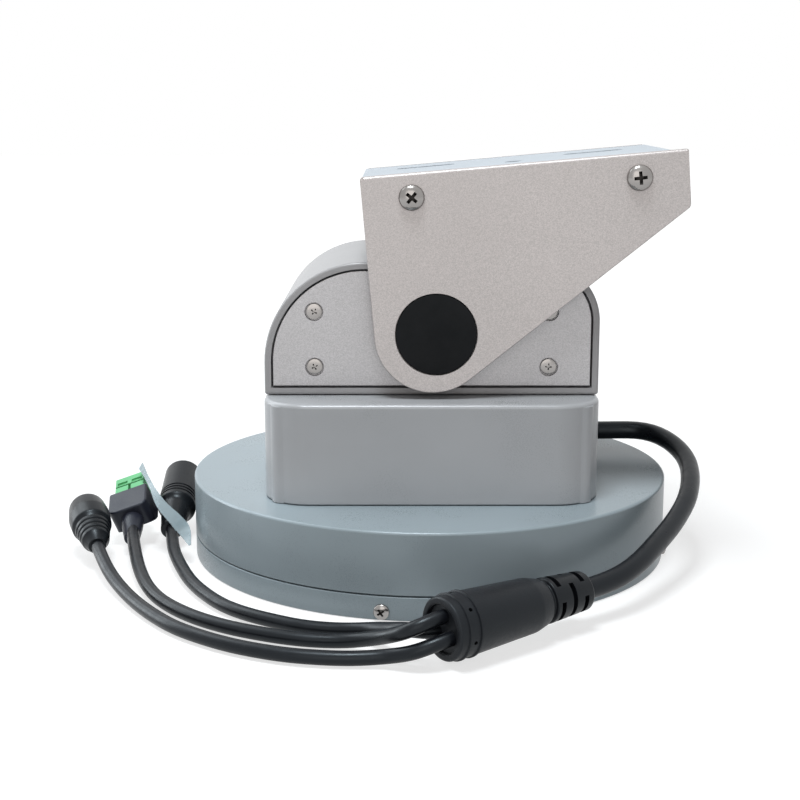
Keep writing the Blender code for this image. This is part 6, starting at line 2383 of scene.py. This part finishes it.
@dataclass(frozen=True)
class Lamp:
    """A soft square lamp, with the side of its square, its power in watts and its colour."""

    name: str
    place: Place
    size: float
    power: float
    tint: Colour

    def hang(self, target: Place) -> None:
        """Hang the lamp in its place, looking at a target.

        Args:
            target: What it looks at.
        """
        lamp = bpy.data.lights.new(self.name, "AREA")
        lamp.shape = "SQUARE"
        lamp.size = self.size
        lamp.energy = self.power
        lamp.color = self.tint
        made = bpy.data.objects.new(self.name, lamp)
        bpy.context.scene.collection.objects.link(made)
        direction = Vector(target) - Vector(self.place)
        made.location = self.place
        made.rotation_euler = direction.to_track_quat("-Z", "Y").to_euler()


COOL = (0.92, 0.97, 1.0)
WARM = (1.0, 0.955, 0.92)
LAMPS = (
    Lamp("key_lamp", (-0.10, -0.30, 1.00), 0.30, 7.6, COOL),
    Lamp("front_lamp", (-0.14, -1.18, 0.42), 0.80, 2.4, WARM),
    Lamp("window_lamp", (-0.60, 0.30, 0.62), 0.55, 3.0, COOL),
    Lamp("left_lamp", (-0.90, 0.30, 0.22), 0.40, 2.6, COOL),
)


@dataclass
class Studio:
    """The floor, the lamps, the sky and the camera."""

    lens: float = 65.3
    sensor: float = 36.0
    camera_place: Place = (-0.0118, -0.5764, 0.1799)
    camera_pitch: float = math.radians(11.78)
    floor_size: float = 8.0
    floor_level: float = -0.0002
    floor_grey: float = 0.42
    floor_glow: float = 0.68
    glow_reach: tuple[float, float] = (0.2, 0.9)
    sky_light: float = 0.22
    lamp_target: Place = (0.0, 0.0, 0.05)

    def build(self) -> None:
        """Set up the whole studio."""
        scene = bpy.context.scene
        scene.view_settings.view_transform = "Standard"
        self.build_camera()
        self.build_floor()
        self.build_sky()
        for lamp in LAMPS:
            lamp.hang(self.lamp_target)

    def build_camera(self) -> None:
        """Place the camera at the photograph's angle."""
        camera = bpy.data.cameras.new("studio_camera")
        camera.lens = self.lens
        camera.sensor_width = self.sensor
        made = bpy.data.objects.new("studio_camera", camera)
        bpy.context.scene.collection.objects.link(made)
        made.location = self.camera_place
        made.rotation_euler = (math.pi / 2 - self.camera_pitch, 0.0, 0.0)
        bpy.context.scene.camera = made

    def white_for_camera(self, tree: bpy.types.NodeTree) -> Socket:
        """Return a value that is 1 for camera, glossy and transmission rays.

        Args:
            tree: The tree that gets the nodes.

        Returns:
            The value.
        """
        path = tree.nodes.new("ShaderNodeLightPath").outputs
        seen = math_of(tree, "MAXIMUM", path["Is Camera Ray"], path["Is Glossy Ray"])
        return math_of(tree, "MAXIMUM", seen, path["Is Transmission Ray"])

    def build_floor(self) -> None:
        """Lay a white floor that keeps the soft shadow of the object."""
        lay_down()
        bpy.ops.mesh.primitive_plane_add(size=self.floor_size, location=(0, 0, self.floor_level))
        floor = bpy.context.active_object
        floor.name = "studio_floor"
        nodes = Nodes("floor_white")
        nodes.constant(Base_Color=(*[self.floor_grey] * 3, 1.0), Roughness=0.9)
        nodes.constant(Specular_IOR_Level=0.0, Emission_Color=WHITE)
        reach = nodes.add("ShaderNodeVectorMath")
        reach.operation = "LENGTH"
        nodes.link(nodes.place, reach.inputs[0])
        start, end = self.glow_reach
        ends = {"From_Min": start, "From_Max": end, "To_Min": self.floor_glow, "To_Max": 1.0}
        far = nodes.add("ShaderNodeMapRange", **ends)
        far.interpolation_type = "SMOOTHSTEP"
        nodes.link(reach.outputs["Value"], far.inputs["Value"])
        seen = self.white_for_camera(nodes.tree)
        strength = nodes.combine("MULTIPLY", seen, far.outputs["Result"])
        nodes.link(strength, nodes.shader.inputs["Emission Strength"])
        floor.data.materials.append(nodes.material)

    def build_sky(self) -> None:
        """Make the world white behind the object and a soft light elsewhere."""
        world = bpy.data.worlds.new("studio_sky")
        bpy.context.scene.world = world
        world.use_nodes = True
        tree = world.node_tree
        background = tree.nodes["Background"]
        background.inputs["Color"].default_value = WHITE
        seen = self.white_for_camera(tree)
        strength = tree.nodes.new("ShaderNodeMapRange")
        strength.inputs["To Min"].default_value = self.sky_light
        strength.inputs["To Max"].default_value = 1.0
        tree.links.new(seen, strength.inputs["Value"])
        tree.links.new(strength.outputs["Result"], background.inputs["Strength"])


def main() -> None:
    """Build the looks of the whole mount."""
    logging.basicConfig(level=logging.INFO, format="%(message)s", stream=sys.stdout)
    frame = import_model()
    palette = Palette()
    shop = Workshop(palette)
    Studio().build()
    Wiring().build(shop)
    Base().build(shop)
    Turntable().build(shop)
    Housing().build(shop)
    Arch().build(shop)
    Cradle().build(shop)
    InnerWorks().dress(frame["nodes"], palette)
    lay_down()
    log.info("%d pieces", shop.count)


if __name__ == "__main__":
    main()
